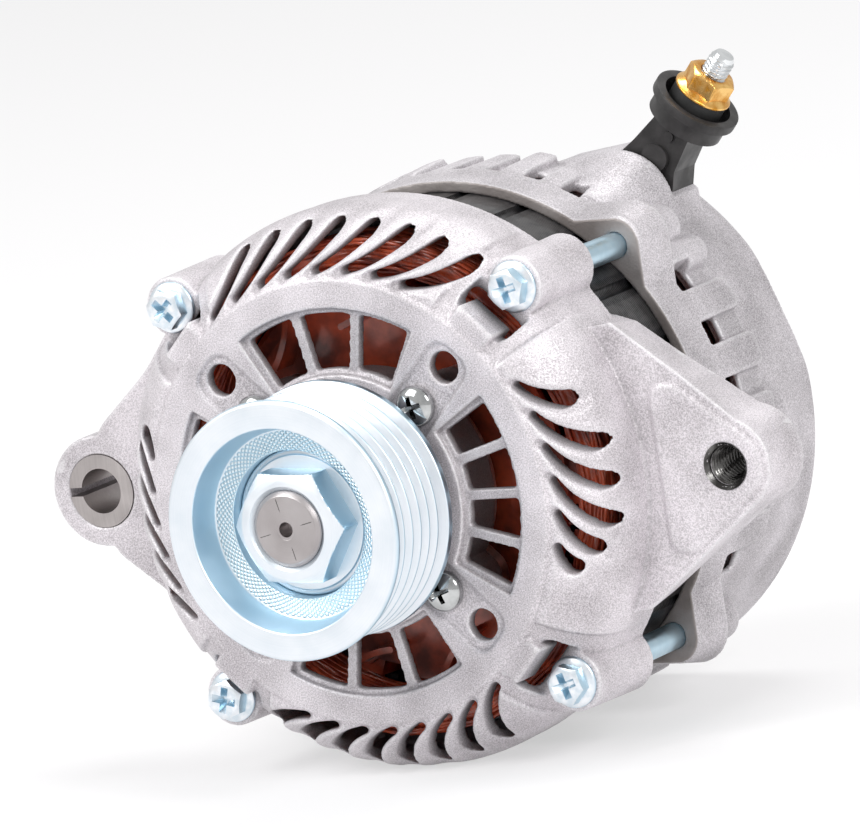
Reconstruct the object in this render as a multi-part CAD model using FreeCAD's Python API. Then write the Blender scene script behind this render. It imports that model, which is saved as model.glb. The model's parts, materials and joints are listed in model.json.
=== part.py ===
"""Belt-driven car alternator, modelled in millimetres.

The shaft lies along Y and the pulley faces -Y. The origin is on the shaft's axis in the middle plane of
the pulley, +Z is up, and seen from the pulley's side +X points right, to the adjusting ear. Angles are
measured about the shaft, from +X towards +Z. Each function returns the solids of one piece.
"""
import FreeCAD, Part
import math
import os

Vec = FreeCAD.Vector

# Clearances
PRESS_CLEARANCE = 0.02      # between faces that are pressed or screwed together
RUNNING_CLEARANCE = 0.05    # between a ball and its races
WINDING_CLEARANCE = 0.25    # between a bar of the winding and its slot

# Pulley
PULLEY_WIDTH = 25.0
PULLEY_RIM_R = 29.05
PULLEY_BACK_R = 28.6
GROOVE_COUNT = 6
GROOVE_PITCH = 3.56
GROOVE_TIP_R = 28.0
GROOVE_ROOT_R = 25.4
GROOVE_FLAT = 0.5           # width of a rib's tip and of a groove's root
PULLEY_MOUTH_R = 22.8
PULLEY_FLOOR_R = 21.3
PULLEY_RECESS = 7.5
PULLEY_HUB_R = 14.0
PULLEY_BACK_RECESS = 8.0
NUT_SEAT_R = 16.9
NUT_SEAT_Y = 0.0

# Pulley nut
NUT_FLATS = 24.0
NUT_FLANGE_R = 16.4
NUT_FLANGE_THICKNESS = 2.5
NUT_STEP_R = 15.2
NUT_STEP = 0.5
NUT_HEX_HEIGHT = 7.2
NUT_TURN = 26.5             # degrees that the hexagon is turned about the shaft

# Shaft
SHAFT_R = 8.48
SHAFT_FRONT_Y = -10.5
SHAFT_CHAMFER = 1.0
CENTRE_HOLE_R = 1.7
CENTRE_HOLE_DEPTH = 4.0
SHAFT_SHOULDER_R = 10.6
SHAFT_SHOULDER_WIDTH = 3.5
SHAFT_ROTOR_R = 10.0
SHAFT_RING_R = 7.9
SHAFT_REAR_R = 7.48

# Front bearing, between the collar and the shaft's shoulder
FRONT_BEARING_Y = 19.0
FRONT_BEARING_WIDTH = 14.0
FRONT_BEARING_R = 23.5
FRONT_INNER_RACE_R = 12.4
FRONT_OUTER_RACE_R = 19.4
FRONT_BALL_R = 4.3
FRONT_BALL_COUNT = 8
COLLAR_LENGTH = 4.5
COLLAR_R = 12.0

# Rear bearing
REAR_BEARING_Y = 113.5
REAR_BEARING_WIDTH = 11.0
REAR_BEARING_R = 17.5
REAR_INNER_RACE_R = 10.1
REAR_OUTER_RACE_R = 14.7
REAR_BALL_R = 2.9
REAR_BALL_COUNT = 9
CAGE_THICKNESS = 1.6
CAGE_EDGE = 0.9             # the cage's band beside the balls
SHIELD_THICKNESS = 0.5
SHIELD_INSET = 0.4
SHIELD_GAP = 0.4

# Front bracket
FACE_Y = 16.5
FACE_WALL = 4.0
FACE_R = 49.6
FACE_STEP = 0.9
BODY_R = 63.0
SHOULDER_END_Y = 40.0
SHOULDER_MID_R = 58.5
SHOULDER_MID_Y = 24.4
SHOULDER_WALL = 2.8
FRONT_RIM_Y = 49.0
PANEL_INNER_R = 52.0        # the shoulder's four raised panels, between the bolts
PANEL_FRONT_Y = 17.2
PANEL_HALF_SPAN = 34.0
PANEL_RISE = 0.9
PANEL_RIM_RISE = 0.3
FRONT_FLAT_Z = 62.4         # the flat under the rim
SHAFT_HOLE_R = 13.2
HOUSING_WALL = 4.0
RETAINER_SCREW_R = 29.2     # radius of the circle through the retaining screws
SCREW_BOSS_R = 5.4
SCREW_SEAT_DEPTH = 0.8
DIAGONAL_SLOT_WIDTH = 11.6
DIAGONAL_SLOT_END_R = 45.6
DIAGONAL_VENT_R = 3.6
DIAGONAL_VENT_AT = 40.6

# Windows in the front face
WINDOW_INNER_R = 28.6
WINDOW_OUTER_R = 43.4
WINDOW_HALF_SPAN = 31.0
WINDOW_RECESS = 1.5
WINDOW_RIB_WIDTH = 2.4
SIDE_RIBS = (-15.5, 0.0, 15.5)
TOP_RIBS = (-10.5, 10.5)

# Louvres round the front bracket's shoulder
LOUVRE_PITCH = 8.25
LOUVRE_SWEEP = 10.5
LOUVRE_INNER_R = 51.6
LOUVRE_OUTER_R = 59.5
LOUVRE_SHORT_R = 57.6
LOUVRE_SHORTEST_R = 54.8
LOUVRE_WIDTH_IN = 1.9       # at a louvre's inner end, near the flat ring
LOUVRE_WIDTH_OUT = 3.9
LOUVRE_BOW = 0.06           # how far a louvre bends aside, as a share of its length
LOUVRE_TOP_COUNT = 8
LOUVRE_SIDE_COUNT = 6
LOUVRE_DEPTH_Y = 43.0

# Through bolts
BOLT_X = 44.1               # distance of each bolt from the shaft's axis, both across and up
BOLT_R = 3.0
BOLT_HOLE_R = 3.3
BOLT_SEAT_Y = 26.2
BOLT_FLANGE_R = 6.05
BOLT_FLANGE_THICKNESS = 1.2
BOLT_HEX_FLATS = 8.0
BOLT_HEAD_HEIGHT = 4.4
BOLT_THREAD_DEPTH = 20.0
LOBE_FRONT_R = 6.8
LOBE_REAR_R = 7.3
ACCESS_WIDTH = 14.4
ACCESS_INNER_R = 52.5
BOLT_SLOT_R = 54.2
BOLT_SLOT_LENGTH = 9.6
BOLT_SLOT_WIDTH = 3.0
PAD_INNER_R = 43.5
PAD_OUTER_R = 52.5
PAD_WIDTH = 11.6
PAD_TOP_Y = 17.6

# Pivot ear and its split bush
PIVOT_X = -83.3
PIVOT_EAR_R = 12.7
PIVOT_FACE_Y = 45.5
PIVOT_EAR_THICKNESS = 14.0
PIVOT_BOSS_R = 11.6
PIVOT_BUSH_R = 8.35
PIVOT_BUSH_BORE_R = 5.15
PIVOT_BUSH_LENGTH = 22.0
PIVOT_BUSH_SLIT = 2.0
PIVOT_WEB_BEND_X = -67.0      # where the web's edges turn inwards to the boss
PIVOT_WEB_BEND_TOP = 26.5
PIVOT_WEB_BEND_BOTTOM = -26.0
PIVOT_WEB_ROOT_X = -50.0
PIVOT_WEB_ROOT_TOP = 47.0
PIVOT_WEB_ROOT_BOTTOM = -50.0
PIVOT_WEB_LOWER_X = -49.0
PIVOT_WEB_END_X = -30.0       # inside the body
PIVOT_WEB_BEND_R = 30.0
PIVOT_WEB_ROOT_R = 6.0
PIVOT_WEB_TIP_R = 10.0
PIVOT_WEB_SPREAD = 1.02       # the web's half height at the boss, as a share of the ear's radius

# Adjusting ear
ADJUST_X = 84.1
ADJUST_FACE_Y = 36.5
ADJUST_EAR_R = 10.6
ADJUST_EAR_THICKNESS = 15.5
ADJUST_HOLE_R = 4.45
ADJUST_CHAMFER_R = 5.2
ADJUST_PAD_STEP = 0.7
ADJUST_ROOT_X = 55.7        # where the ear's edges meet the body
ADJUST_ROOT_HALF = 31.2
ADJUST_EAR_TAPER = 0.5
ADJUST_PAD_X = 67.6
ADJUST_PAD_HALF = 18.5

# Stator
CORE_R = 58.5
CORE_BORE_R = 47.2
CORE_Y = 47.0
CORE_LENGTH = 30.0
SLOT_COUNT = 48
SLOT_DEPTH = 8.0
SLOT_WIDTH = 3.0
CORE_NOTCH_R = 1.6
CORE_NOTCH_COUNT = 24
END_TURN_INSET = 3.1        # from the core's outside to the end turns'
END_TURN_DEPTH = 6.8
END_TURN_OUTER_R = CORE_R - END_TURN_INSET
END_TURN_INNER_R = END_TURN_OUTER_R - END_TURN_DEPTH
END_TURN_HEIGHT = 14.5
END_TURN_ROUND = 3.0

# Rear bracket
REAR_RIM_Y = 70.5
REAR_R = 61.2
REAR_TAPER_R = 61.0         # outer radius where the rear corner starts
REAR_TAPER_Y = 98.0
REAR_TONGUE_R = 62.0
REAR_RIM_R = 61.0
REAR_TONGUE_END_Y = 97.0
REAR_END_Y = 119.5
REAR_CORNER = 3.0
REAR_CAVITY_END_R = 56.0
REAR_WALL = 3.6
REAR_SKIRT_END_Y = 80.8
REAR_HOLE_LENGTH = 6.6
REAR_SIDE_PITCH = 12.6
REAR_SIDE_COUNT = 6
REAR_SIDE_CENTRE = 1.4
REAR_TOP_PITCH = 9.0
REAR_TOP_COUNT = 7
REAR_TOP_CENTRE = 90.0
REAR_HOLE_SHARE = 0.42      # share of the pitch that a hole takes
REAR_LOBE_R = 6.6
REAR_LOBE_END_Y = 91.0
REAR_HOUSING_R = 21.5
REAR_HOUSING_CAP = 2.5
REAR_VENT_INNER_R = 25.0
REAR_VENT_OUTER_R = 46.0
REAR_VENT_HALF = 3.4
REAR_VENT_ANGLES = (-150.0, -130.0, -110.0, -90.0, -70.0, -50.0, -30.0, -10.0, 10.0)
REAR_CHORD_ANGLE = 19.5     # the flat on the right-hand side
REAR_CHORD_AT = 58.7
REAR_FLAT_Z = 59.8          # the flats at the top and the bottom
REAR_TONGUE_FLAT_Z = 60.9
REAR_TOP_Z = 59.4           # the top's height at the tongues' ends, from where it falls to the rear
REAR_TOP_FALL = 0.165
BAND_FRONT_HALF = 50.2      # half the width of the square band that carries the bolts
BAND_FRONT_CORNER = 6.0
BAND_BACK_HALF = 52.5
BAND_BACK_CORNER = 8.4
SIDE_BOSS_R = 4.0
SIDE_BOSS_AT = 61.6
SIDE_BOSS_ANGLE = 37.5
SIDE_BOSS_END_Y = 94.0

# Rotor
ROTOR_R = 46.6
ROTOR_Y = 41.0
ROTOR_LENGTH = 46.0
POLE_COUNT = 8              # fingers on each half
POLE_DISC = 12.5
POLE_DISC_R = 35.5
POLE_ROOT_WIDTH = 15.0
POLE_TIP_WIDTH = 6.4
POLE_ROOT_DEPTH = 11.0
POLE_TIP_DEPTH = 4.0
POLE_TIP_GAP = 1.2
POLE_HUB_R = 16.0
BOBBIN_WALL = 1.3
COIL_R = 34.4

# Fans
FAN_PLATE = 1.5
FAN_PLATE_R = 42.0
FAN_BLADE_COUNT = 11
FAN_BLADE_INNER_R = 36.8
FAN_BLADE_OUTER_R = 44.2
FAN_BLADE_HEIGHT = 7.5
FAN_BLADE_THICKNESS = 1.4
FAN_BLADE_LEAN = 14.0       # degrees from a blade's inner to its outer end

# Slip rings
RING_R = 11.35
RING_BORE_R = 9.9
RING_WIDTH = 6.0
RING_GAP = 2.0
RING_Y = 97.5

# Brushes
BRUSH_THICKNESS = 4.4       # along the shaft
BRUSH_WIDTH = 6.4
BRUSH_LENGTH = 13.0
BRUSH_GAP = 0.05
BRUSH_SIDE_CLEARANCE = 0.1
HOLDER_WALL = 1.6
HOLDER_BOTTOM_Z = 13.6
HOLDER_TOP_Z = 39.0
SPRING_WIRE = 0.6
SPRING_R = 1.7
SPRING_TURNS = 6
HOLDER_FLANGE_X = 12.5
HOLDER_FLANGE_Z = 29.0
HOLDER_SCREW_X = 8.6
HOLDER_SCREW_Z = 34.0

# Bearing retainer and its screws
RETAINER_THICKNESS = 3.0
RETAINER_RING_R = 26.0
RETAINER_BORE_R = 13.6
RETAINER_EAR_R = 5.2
SCREW_R = 2.4
SCREW_HOLE_R = 2.7
SCREW_HEAD_R = 4.6
SCREW_HEAD_HEIGHT = 3.2

# Rectifier
PLATE_INNER_R = 27.5
PLATE_OUTER_R = 53.5
PLATE_THICKNESS = 2.5
POSITIVE_PLATE_SPAN = (-140.0, 70.0)
NEGATIVE_PLATE_SPAN = (-140.0, 42.0)
POSITIVE_PLATE_Y = 100.6
NEGATIVE_PLATE_Y = 108.0
DIODE_R = 5.0
DIODE_AT_R = 41.0
DIODE_ANGLES = (-120.0, -84.0, -48.0)
DIODE_LEAD_R = 0.8
FIXING_AT_R = 49.0
FIXING_ANGLES = (-134.0, -102.0, -33.0, 32.0)
FIXING_SCREW_R = 2.0
FIXING_HEAD_R = 3.6
FIXING_HEAD_HEIGHT = 2.4
SPACER_R = 4.0
BOSS_R = 5.0

# Output terminal: its line stands out at an angle and passes beside the shaft
TERMINAL_ANGLE = 48.0
TERMINAL_OFFSET = 10.2
TERMINAL_Y = 107.5
STUD_R = 3.0
STUD_TIP_AT = 97.2
STUD_HEAD_R = 4.3
STUD_HEAD_AT = 46.0
STUD_HEAD_THICKNESS = 2.4
STUD_POINT = 0.8
LUG_THICKNESS = 3.6
LUG_SIDE = 1.5              # how far the lug reaches beyond the stud's head
TERMINAL_NUT_FLATS = 10.0
TERMINAL_NUT_HEIGHT = 5.6
TERMINAL_FLANGE_R = 6.75
TERMINAL_FLANGE_THICKNESS = 1.3
TERMINAL_NUT_AT = 86.3
CUP_RIM_R = 10.2
CUP_R = 8.9
CUP_BORE_R = 8.1
CUP_TOP_AT = 84.3
CUP_DEPTH = 4.8
CUP_RIM_HEIGHT = 2.1
CUP_BOTTOM_AT = 78.1
STAND_SEAT_AT = 65.5        # where the stem stands on the casting
STAND_FOOT_R = 6.8
STAND_FOOT_BOTTOM_AT = 55.5
STAND_BOSS_RISE = 1.0
STAND_STUD_RISE = 0.5
HUMP_OUTLINE = ((44.0, 40.0, 0), (42.5, 62.3, 13), (14.0, 58.6, 0), (14.0, 45.0, 0))
HUMP_ROOT_OUTLINE = ((41.0, 38.0, 0), (35.5, 54.5, 10), (14.0, 53.0, 0), (14.0, 43.0, 0))
HUMP_ROOT_Y = 84.0          # the casting rises from here to its full height in front of the stand
HUMP_FULL_Y = 99.0
HUMP_END_Y = 111.5
STEM_TOP = (-4.3, 4.9)      # the stem's left and right edges, under the cup
STEM_WAIST = (-6.0, 6.1)
STEM_WAIST_AT = 69.5
STEM_BASE = (-7.0, 8.2)
STEM_FRONT = 6.0
STEM_BACK = 3.5
STAND_BOSS_R = 3.2
STAND_BOSS_SPOT = (0.65, 69.5)
STAND_STUD_R = 1.25
STAND_STUD_SPOT = (0.75, 75.6)
INNER_BUSH_R = 6.4

# Regulator and plug socket
REGULATOR_WIDTH = 34.0
REGULATOR_HEIGHT = 20.0
REGULATOR_DEPTH = 9.0
REGULATOR_ANGLE = 150.0
REGULATOR_AT_R = 40.0
REGULATOR_Y = 103.0
SOCKET_LENGTH = 22.0
SOCKET_HEIGHT = 12.0
SOCKET_WALL = 1.8
SOCKET_END_Y = 127.0
PIN_SIZE = 1.2
PIN_LENGTH = 5.5
PIN_COUNT = 3
PIN_PITCH = 5.2

CARDINALS = (0.0, 90.0, 180.0, 270.0)
DIAGONALS = (45.0, 135.0, 225.0, 315.0)


# Drawing helpers

def polar(radius, angle, y=0.0):
    """The point at a radius and an angle about the shaft, at a place along it."""
    turn = math.radians(angle)
    return Vec(radius * math.cos(turn), y, radius * math.sin(turn))


def turned(shape, angle):
    """A copy turned about the shaft from +X towards +Z."""
    copy = shape.copy()
    copy.rotate(Vec(0, 0, 0), Vec(0, -1, 0), angle)
    return copy


def rod(radius, y_start, y_end, x=0.0, z=0.0):
    """A cylinder parallel to the shaft."""
    return Part.makeCylinder(radius, y_end - y_start, Vec(x, y_start, z), Vec(0, 1, 0))


def cone(r_start, r_end, y_start, y_end, x=0.0, z=0.0):
    """A cone parallel to the shaft."""
    return Part.makeCone(r_start, r_end, y_end - y_start, Vec(x, y_start, z), Vec(0, 1, 0))


def tube(r_out, r_in, y_start, y_end, x=0.0, z=0.0):
    """A tube parallel to the shaft."""
    return rod(r_out, y_start, y_end, x, z).cut(rod(r_in, y_start - 1, y_end + 1, x, z))


def block(x0, x1, y0, y1, z0, z1):
    """A box between two corners."""
    return Part.makeBox(x1 - x0, y1 - y0, z1 - z0, Vec(x0, y0, z0))


def radial_rod(radius, r_start, r_end, angle, y):
    """A cylinder whose axis is a radius of the shaft."""
    return Part.makeCylinder(radius, r_end - r_start, polar(r_start, angle, y), polar(1, angle))


def joined(shapes):
    """One solid from shapes that touch."""
    first, *rest = shapes
    whole = first.multiFuse(rest) if rest else first
    return whole.removeSplitter()


def revolved(points):
    """The solid that a closed outline of (radius, y) points sweeps round the shaft."""
    corners = [Vec(radius, y, 0) for radius, y in points]
    face = Part.Face(Part.makePolygon(corners + corners[:1]))
    return face.revolve(Vec(0, 0, 0), Vec(0, 1, 0), 360)


def drawn(pieces):
    """A face in the plane of (radius, y), from straight runs and arcs.

    Each piece is a point, reached by a straight run, or a pair of points: one on an arc, and its end.
    """
    start = Vec(*pieces[0], 0)
    here = start
    edges = []
    for piece in pieces[1:] + [pieces[0]]:
        if isinstance(piece[0], tuple):
            via, end = (Vec(*point, 0) for point in piece)
            edges.append(Part.Arc(here, via, end).toShape())
        else:
            end = Vec(*piece, 0)
            edges.append(Part.makeLine(here, end))
        here = end
    return Part.Face(Part.Wire(edges))


def swept_round(pieces):
    """The solid that an outline with arcs sweeps round the shaft."""
    return drawn(pieces).revolve(Vec(0, 0, 0), Vec(0, 1, 0), 360)


def rounded_outline(corners, y):
    """A wire in a plane across the shaft, from (x, z, radius) corners."""
    count = len(corners)
    places = [Vec(x, y, z) for x, z, _ in corners]
    edges = []
    ends = []
    for index, (_, _, radius) in enumerate(corners):
        here = places[index]
        back = (places[index - 1] - here).normalize()
        ahead = (places[(index + 1) % count] - here).normalize()
        half = back.getAngle(ahead) / 2
        if radius == 0 or abs(half - math.pi / 2) < 1e-6:
            ends.append((here, here, here))
            continue
        reach = radius / math.tan(half)
        middle = (back + ahead).normalize() * (radius / math.sin(half) - radius)
        ends.append((here + back * reach, here + middle, here + ahead * reach))
    for index, (first, middle, last) in enumerate(ends):
        if (last - first).Length > 1e-6:
            edges.append(Part.Arc(first, middle, last).toShape())
        following = ends[(index + 1) % count][0]
        if (following - last).Length > 1e-6:
            edges.append(Part.makeLine(last, following))
    return Part.Wire(edges)


def plate(corners, y_start, y_end):
    """A flat plate across the shaft, from (x, z, radius) corners."""
    return Part.Face(rounded_outline(corners, y_start)).extrude(Vec(0, y_end - y_start, 0))


def sector(r_in, r_out, angle_start, angle_end, y_start, y_end):
    """A piece of a ring between two angles."""
    middle = (angle_start + angle_end) / 2
    outer = Part.Arc(polar(r_out, angle_start, y_start), polar(r_out, middle, y_start),
                     polar(r_out, angle_end, y_start))
    inner = Part.Arc(polar(r_in, angle_end, y_start), polar(r_in, middle, y_start),
                     polar(r_in, angle_start, y_start))
    sides = [Part.makeLine(polar(r_out, angle_end, y_start), polar(r_in, angle_end, y_start)),
             Part.makeLine(polar(r_in, angle_start, y_start), polar(r_out, angle_start, y_start))]
    wire = Part.Wire([outer.toShape(), sides[0], inner.toShape(), sides[1]])
    return Part.Face(wire).extrude(Vec(0, y_end - y_start, 0))


def beyond(z_limit, y_start):
    """What lies above and below a height on both sides of the shaft, from a place along it."""
    far = BODY_R * 2
    return [block(-far, far, y_start, far, z_limit, far), block(-far, far, y_start, far, -far, -z_limit)]


def hexagon(flats, y_start, y_end, turn):
    """A hexagonal prism round the shaft's axis, from its width across flats."""
    corner_r = flats / math.sqrt(3)
    corners = [polar(corner_r, turn + 60 * side, y_start) for side in range(6)]
    face = Part.Face(Part.makePolygon(corners + corners[:1]))
    return face.extrude(Vec(0, y_end - y_start, 0))


def arc_slot(r_in, r_out, angle_in, sweep, widths, y_start, y_end):
    """A curved slot with round ends, which turns back and widens as it goes out."""
    half_in, half_out = (width / 2 for width in widths)
    start = polar(r_in, angle_in, y_start)
    end = polar(r_out, angle_in - sweep, y_start)
    run = end - start
    side = Vec(run.z, 0, -run.x).normalize()
    middle = (start + end) * 0.5 + side * (run.Length * LOUVRE_BOW)
    first = (middle - start).normalize()
    last = (end - middle).normalize()
    start_side = Vec(first.z, 0, -first.x) * half_in
    end_side = Vec(last.z, 0, -last.x) * half_out
    middle_side = side * ((half_in + half_out) / 2)
    edges = [Part.Arc(start + start_side, middle + middle_side, end + end_side).toShape(),
             Part.Arc(end + end_side, end + last * half_out, end - end_side).toShape(),
             Part.Arc(end - end_side, middle - middle_side, start - start_side).toShape(),
             Part.Arc(start - start_side, start - first * half_in, start + start_side).toShape()]
    return Part.Face(Part.Wire(edges)).extrude(Vec(0, y_end - y_start, 0))


# Pulley, nut, collar and shaft

def pulley():
    """Six-groove belt pulley with a dished front and a hub that meets the collar."""
    half = PULLEY_WIDTH / 2
    groove_start = -GROOVE_COUNT * GROOVE_PITCH / 2
    flank = (GROOVE_PITCH - 2 * GROOVE_FLAT) / 2
    outline = [(PULLEY_MOUTH_R, -half), (PULLEY_RIM_R - 0.6, -half), (PULLEY_RIM_R, -half + 0.6),
               (PULLEY_RIM_R, groove_start)]
    for groove in range(GROOVE_COUNT):
        y = groove_start + groove * GROOVE_PITCH
        outline += [(GROOVE_TIP_R, y + GROOVE_FLAT / 2), (GROOVE_ROOT_R, y + GROOVE_FLAT / 2 + flank),
                    (GROOVE_ROOT_R, y + GROOVE_PITCH - GROOVE_FLAT / 2 - flank),
                    (GROOVE_TIP_R, y + GROOVE_PITCH - GROOVE_FLAT / 2)]
    back_floor = half - PULLEY_BACK_RECESS
    outline += [(PULLEY_BACK_R, -groove_start), (PULLEY_BACK_R, half), (PULLEY_MOUTH_R, half),
                (PULLEY_FLOOR_R, back_floor), (PULLEY_HUB_R, back_floor),
                (PULLEY_HUB_R, COLLAR_FRONT_Y), (SHAFT_R + PRESS_CLEARANCE, COLLAR_FRONT_Y),
                (SHAFT_R + PRESS_CLEARANCE, NUT_SEAT_Y), (NUT_SEAT_R, NUT_SEAT_Y),
                (NUT_SEAT_R, -half + PULLEY_RECESS), (PULLEY_FLOOR_R, -half + PULLEY_RECESS)]
    return revolved(outline)


def pulley_nut():
    """Flanged hexagon nut that clamps the pulley."""
    flange_front = NUT_SEAT_Y - NUT_FLANGE_THICKNESS
    step_front = flange_front - NUT_STEP
    hex_front = step_front - NUT_HEX_HEIGHT
    body = hexagon(NUT_FLATS, hex_front, step_front, NUT_TURN)
    corner_r = NUT_FLATS / math.sqrt(3)
    crown = cone(NUT_FLATS / 2 - 0.4, NUT_FLATS / 2 - 0.4 + NUT_HEX_HEIGHT * 1.6, hex_front, step_front)
    body = body.common(crown.common(rod(corner_r, hex_front, step_front)))
    nut = joined([body, rod(NUT_STEP_R, step_front, flange_front),
                  rod(NUT_FLANGE_R, flange_front, NUT_SEAT_Y)])
    return nut.cut(rod(SHAFT_R + PRESS_CLEARANCE, hex_front - 1, NUT_SEAT_Y + 1))


def spacer_collar():
    """Ring between the pulley's hub and the front bearing."""
    return tube(COLLAR_R, SHAFT_R + PRESS_CLEARANCE, COLLAR_FRONT_Y, FRONT_BEARING_Y)


def rotor_shaft():
    """Stepped shaft with a centre hole in its front end."""
    shoulder_end = SHOULDER_Y + SHAFT_SHOULDER_WIDTH
    rotor_end = RING_Y - 1.0
    rear_end = REAR_BEARING_Y + REAR_BEARING_WIDTH - 0.5
    shaft = revolved([
        (0, SHAFT_FRONT_Y), (SHAFT_R - SHAFT_CHAMFER, SHAFT_FRONT_Y),
        (SHAFT_R, SHAFT_FRONT_Y + SHAFT_CHAMFER),
        (SHAFT_R, SHOULDER_Y), (SHAFT_SHOULDER_R, SHOULDER_Y), (SHAFT_SHOULDER_R, shoulder_end),
        (SHAFT_ROTOR_R, shoulder_end), (SHAFT_ROTOR_R, rotor_end), (SHAFT_RING_R, rotor_end),
        (SHAFT_RING_R, REAR_BEARING_Y), (SHAFT_REAR_R, REAR_BEARING_Y),
        (SHAFT_REAR_R, rear_end), (0, rear_end)])
    return shaft.cut(rod(CENTRE_HOLE_R, SHAFT_FRONT_Y - 1, SHAFT_FRONT_Y + CENTRE_HOLE_DEPTH))


# Bearings

def race_groove(ball_r, pitch_r, y):
    """The ring that the balls sweep, a running clearance larger than a ball."""
    return Part.makeTorus(pitch_r, ball_r + RUNNING_CLEARANCE, Vec(0, y, 0), Vec(0, 1, 0))


def ball_bearing(bore_r, inner_r, outer_r, ring_r, ball_r, count, y_start, width):
    """Inner ring, outer ring with its shields, balls and cage of a ball bearing."""
    y_mid = y_start + width / 2
    y_end = y_start + width
    pitch_r = (inner_r + outer_r) / 2
    groove = race_groove(ball_r, pitch_r, y_mid)
    inner = tube(inner_r, bore_r, y_start, y_end).cut(groove)
    outer = tube(ring_r, outer_r, y_start, y_end).cut(groove)
    balls = []
    for index in range(count):
        balls.append(Part.makeSphere(ball_r, polar(pitch_r, 360.0 * index / count, y_mid)))
    cage = tube(pitch_r + CAGE_THICKNESS / 2, pitch_r - CAGE_THICKNESS / 2,
                y_mid - ball_r - CAGE_EDGE, y_mid + ball_r + CAGE_EDGE)
    pockets = []
    for index in range(count):
        pockets.append(radial_rod(ball_r + RUNNING_CLEARANCE, inner_r, outer_r, 360.0 * index / count, y_mid))
    cage = cage.cut(Part.makeCompound(pockets))
    shields = []
    for front in (y_start + SHIELD_INSET, y_end - SHIELD_INSET - SHIELD_THICKNESS):
        shields.append(tube(outer_r - PRESS_CLEARANCE, inner_r + SHIELD_GAP, front, front + SHIELD_THICKNESS))
    return inner, outer, balls, cage, shields


# Front bracket

def front_cavity():
    """The space inside the front bracket, from behind its face to its open rim."""
    face_back = FACE_Y + FACE_WALL
    housing_r = FRONT_BEARING_R + HOUSING_WALL
    seat_r = CORE_R + PRESS_CLEARANCE
    open_end = PIVOT_FACE_Y + PIVOT_BUSH_LENGTH
    return swept_round([
        (housing_r, face_back), (FACE_R - 3.0, face_back),
        ((SHOULDER_MID_R - SHOULDER_WALL * 0.85, SHOULDER_MID_Y + SHOULDER_WALL * 0.55),
         (BODY_R - SHOULDER_WALL, SHOULDER_END_Y)),
        (BODY_R - SHOULDER_WALL, CORE_Y - 3.0), (seat_r - 1.5, CORE_Y - 1.0), (seat_r - 1.5, CORE_Y),
        (seat_r, CORE_Y), (seat_r, open_end), (0, open_end),
        (0, HOUSING_END_Y), (housing_r, HOUSING_END_Y)])


def front_skin():
    """The front bracket's outer form of revolution, still solid."""
    return swept_round([
        (0, FACE_Y), (FACE_R, FACE_Y), (FACE_R + FACE_STEP, FACE_Y + FACE_STEP),
        ((SHOULDER_MID_R, SHOULDER_MID_Y), (BODY_R, SHOULDER_END_Y)),
        (BODY_R, FRONT_RIM_Y), (0, FRONT_RIM_Y)])


def raised_panels():
    """The parts of the shoulder between the bolts, which stand proud of the rest."""
    rim_r = BODY_R + PANEL_RIM_RISE
    end_y = FRONT_RIM_Y - 3
    skin = swept_round([
        (0, PANEL_FRONT_Y), (PANEL_INNER_R, PANEL_FRONT_Y),
        ((SHOULDER_MID_R + PANEL_RISE * 0.78, SHOULDER_MID_Y - PANEL_RISE * 0.63), (rim_r, SHOULDER_END_Y)),
        (rim_r, end_y), (0, end_y)])
    panels = []
    for angle in CARDINALS:
        piece = sector(FACE_R - 2, rim_r + 5, angle - PANEL_HALF_SPAN, angle + PANEL_HALF_SPAN,
                       FACE_Y, end_y + 1)
        panels.append(skin.common(piece))
    return panels


def pivot_ear():
    """The left-hand ear: a web that narrows to the boss round the bush."""
    back = PIVOT_FACE_Y + PIVOT_EAR_THICKNESS
    tip_z = PIVOT_EAR_R * PIVOT_WEB_SPREAD
    web = plate([(PIVOT_X, tip_z, PIVOT_WEB_TIP_R),
                 (PIVOT_WEB_BEND_X, PIVOT_WEB_BEND_TOP, PIVOT_WEB_BEND_R),
                 (PIVOT_WEB_ROOT_X, PIVOT_WEB_ROOT_TOP, PIVOT_WEB_ROOT_R),
                 (PIVOT_WEB_END_X, PIVOT_WEB_ROOT_TOP, 0),
                 (PIVOT_WEB_END_X, PIVOT_WEB_ROOT_BOTTOM, 0),
                 (PIVOT_WEB_LOWER_X, PIVOT_WEB_ROOT_BOTTOM, PIVOT_WEB_ROOT_R),
                 (PIVOT_WEB_BEND_X, PIVOT_WEB_BEND_BOTTOM, PIVOT_WEB_BEND_R),
                 (PIVOT_X, -tip_z, PIVOT_WEB_TIP_R)],
                PIVOT_FACE_Y, back)
    tip = rod(PIVOT_EAR_R, PIVOT_FACE_Y, back, PIVOT_X)
    sleeve = rod(PIVOT_BOSS_R, back - 1, PIVOT_FACE_Y + PIVOT_BUSH_LENGTH, PIVOT_X)
    return joined([web, tip, sleeve])


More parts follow.
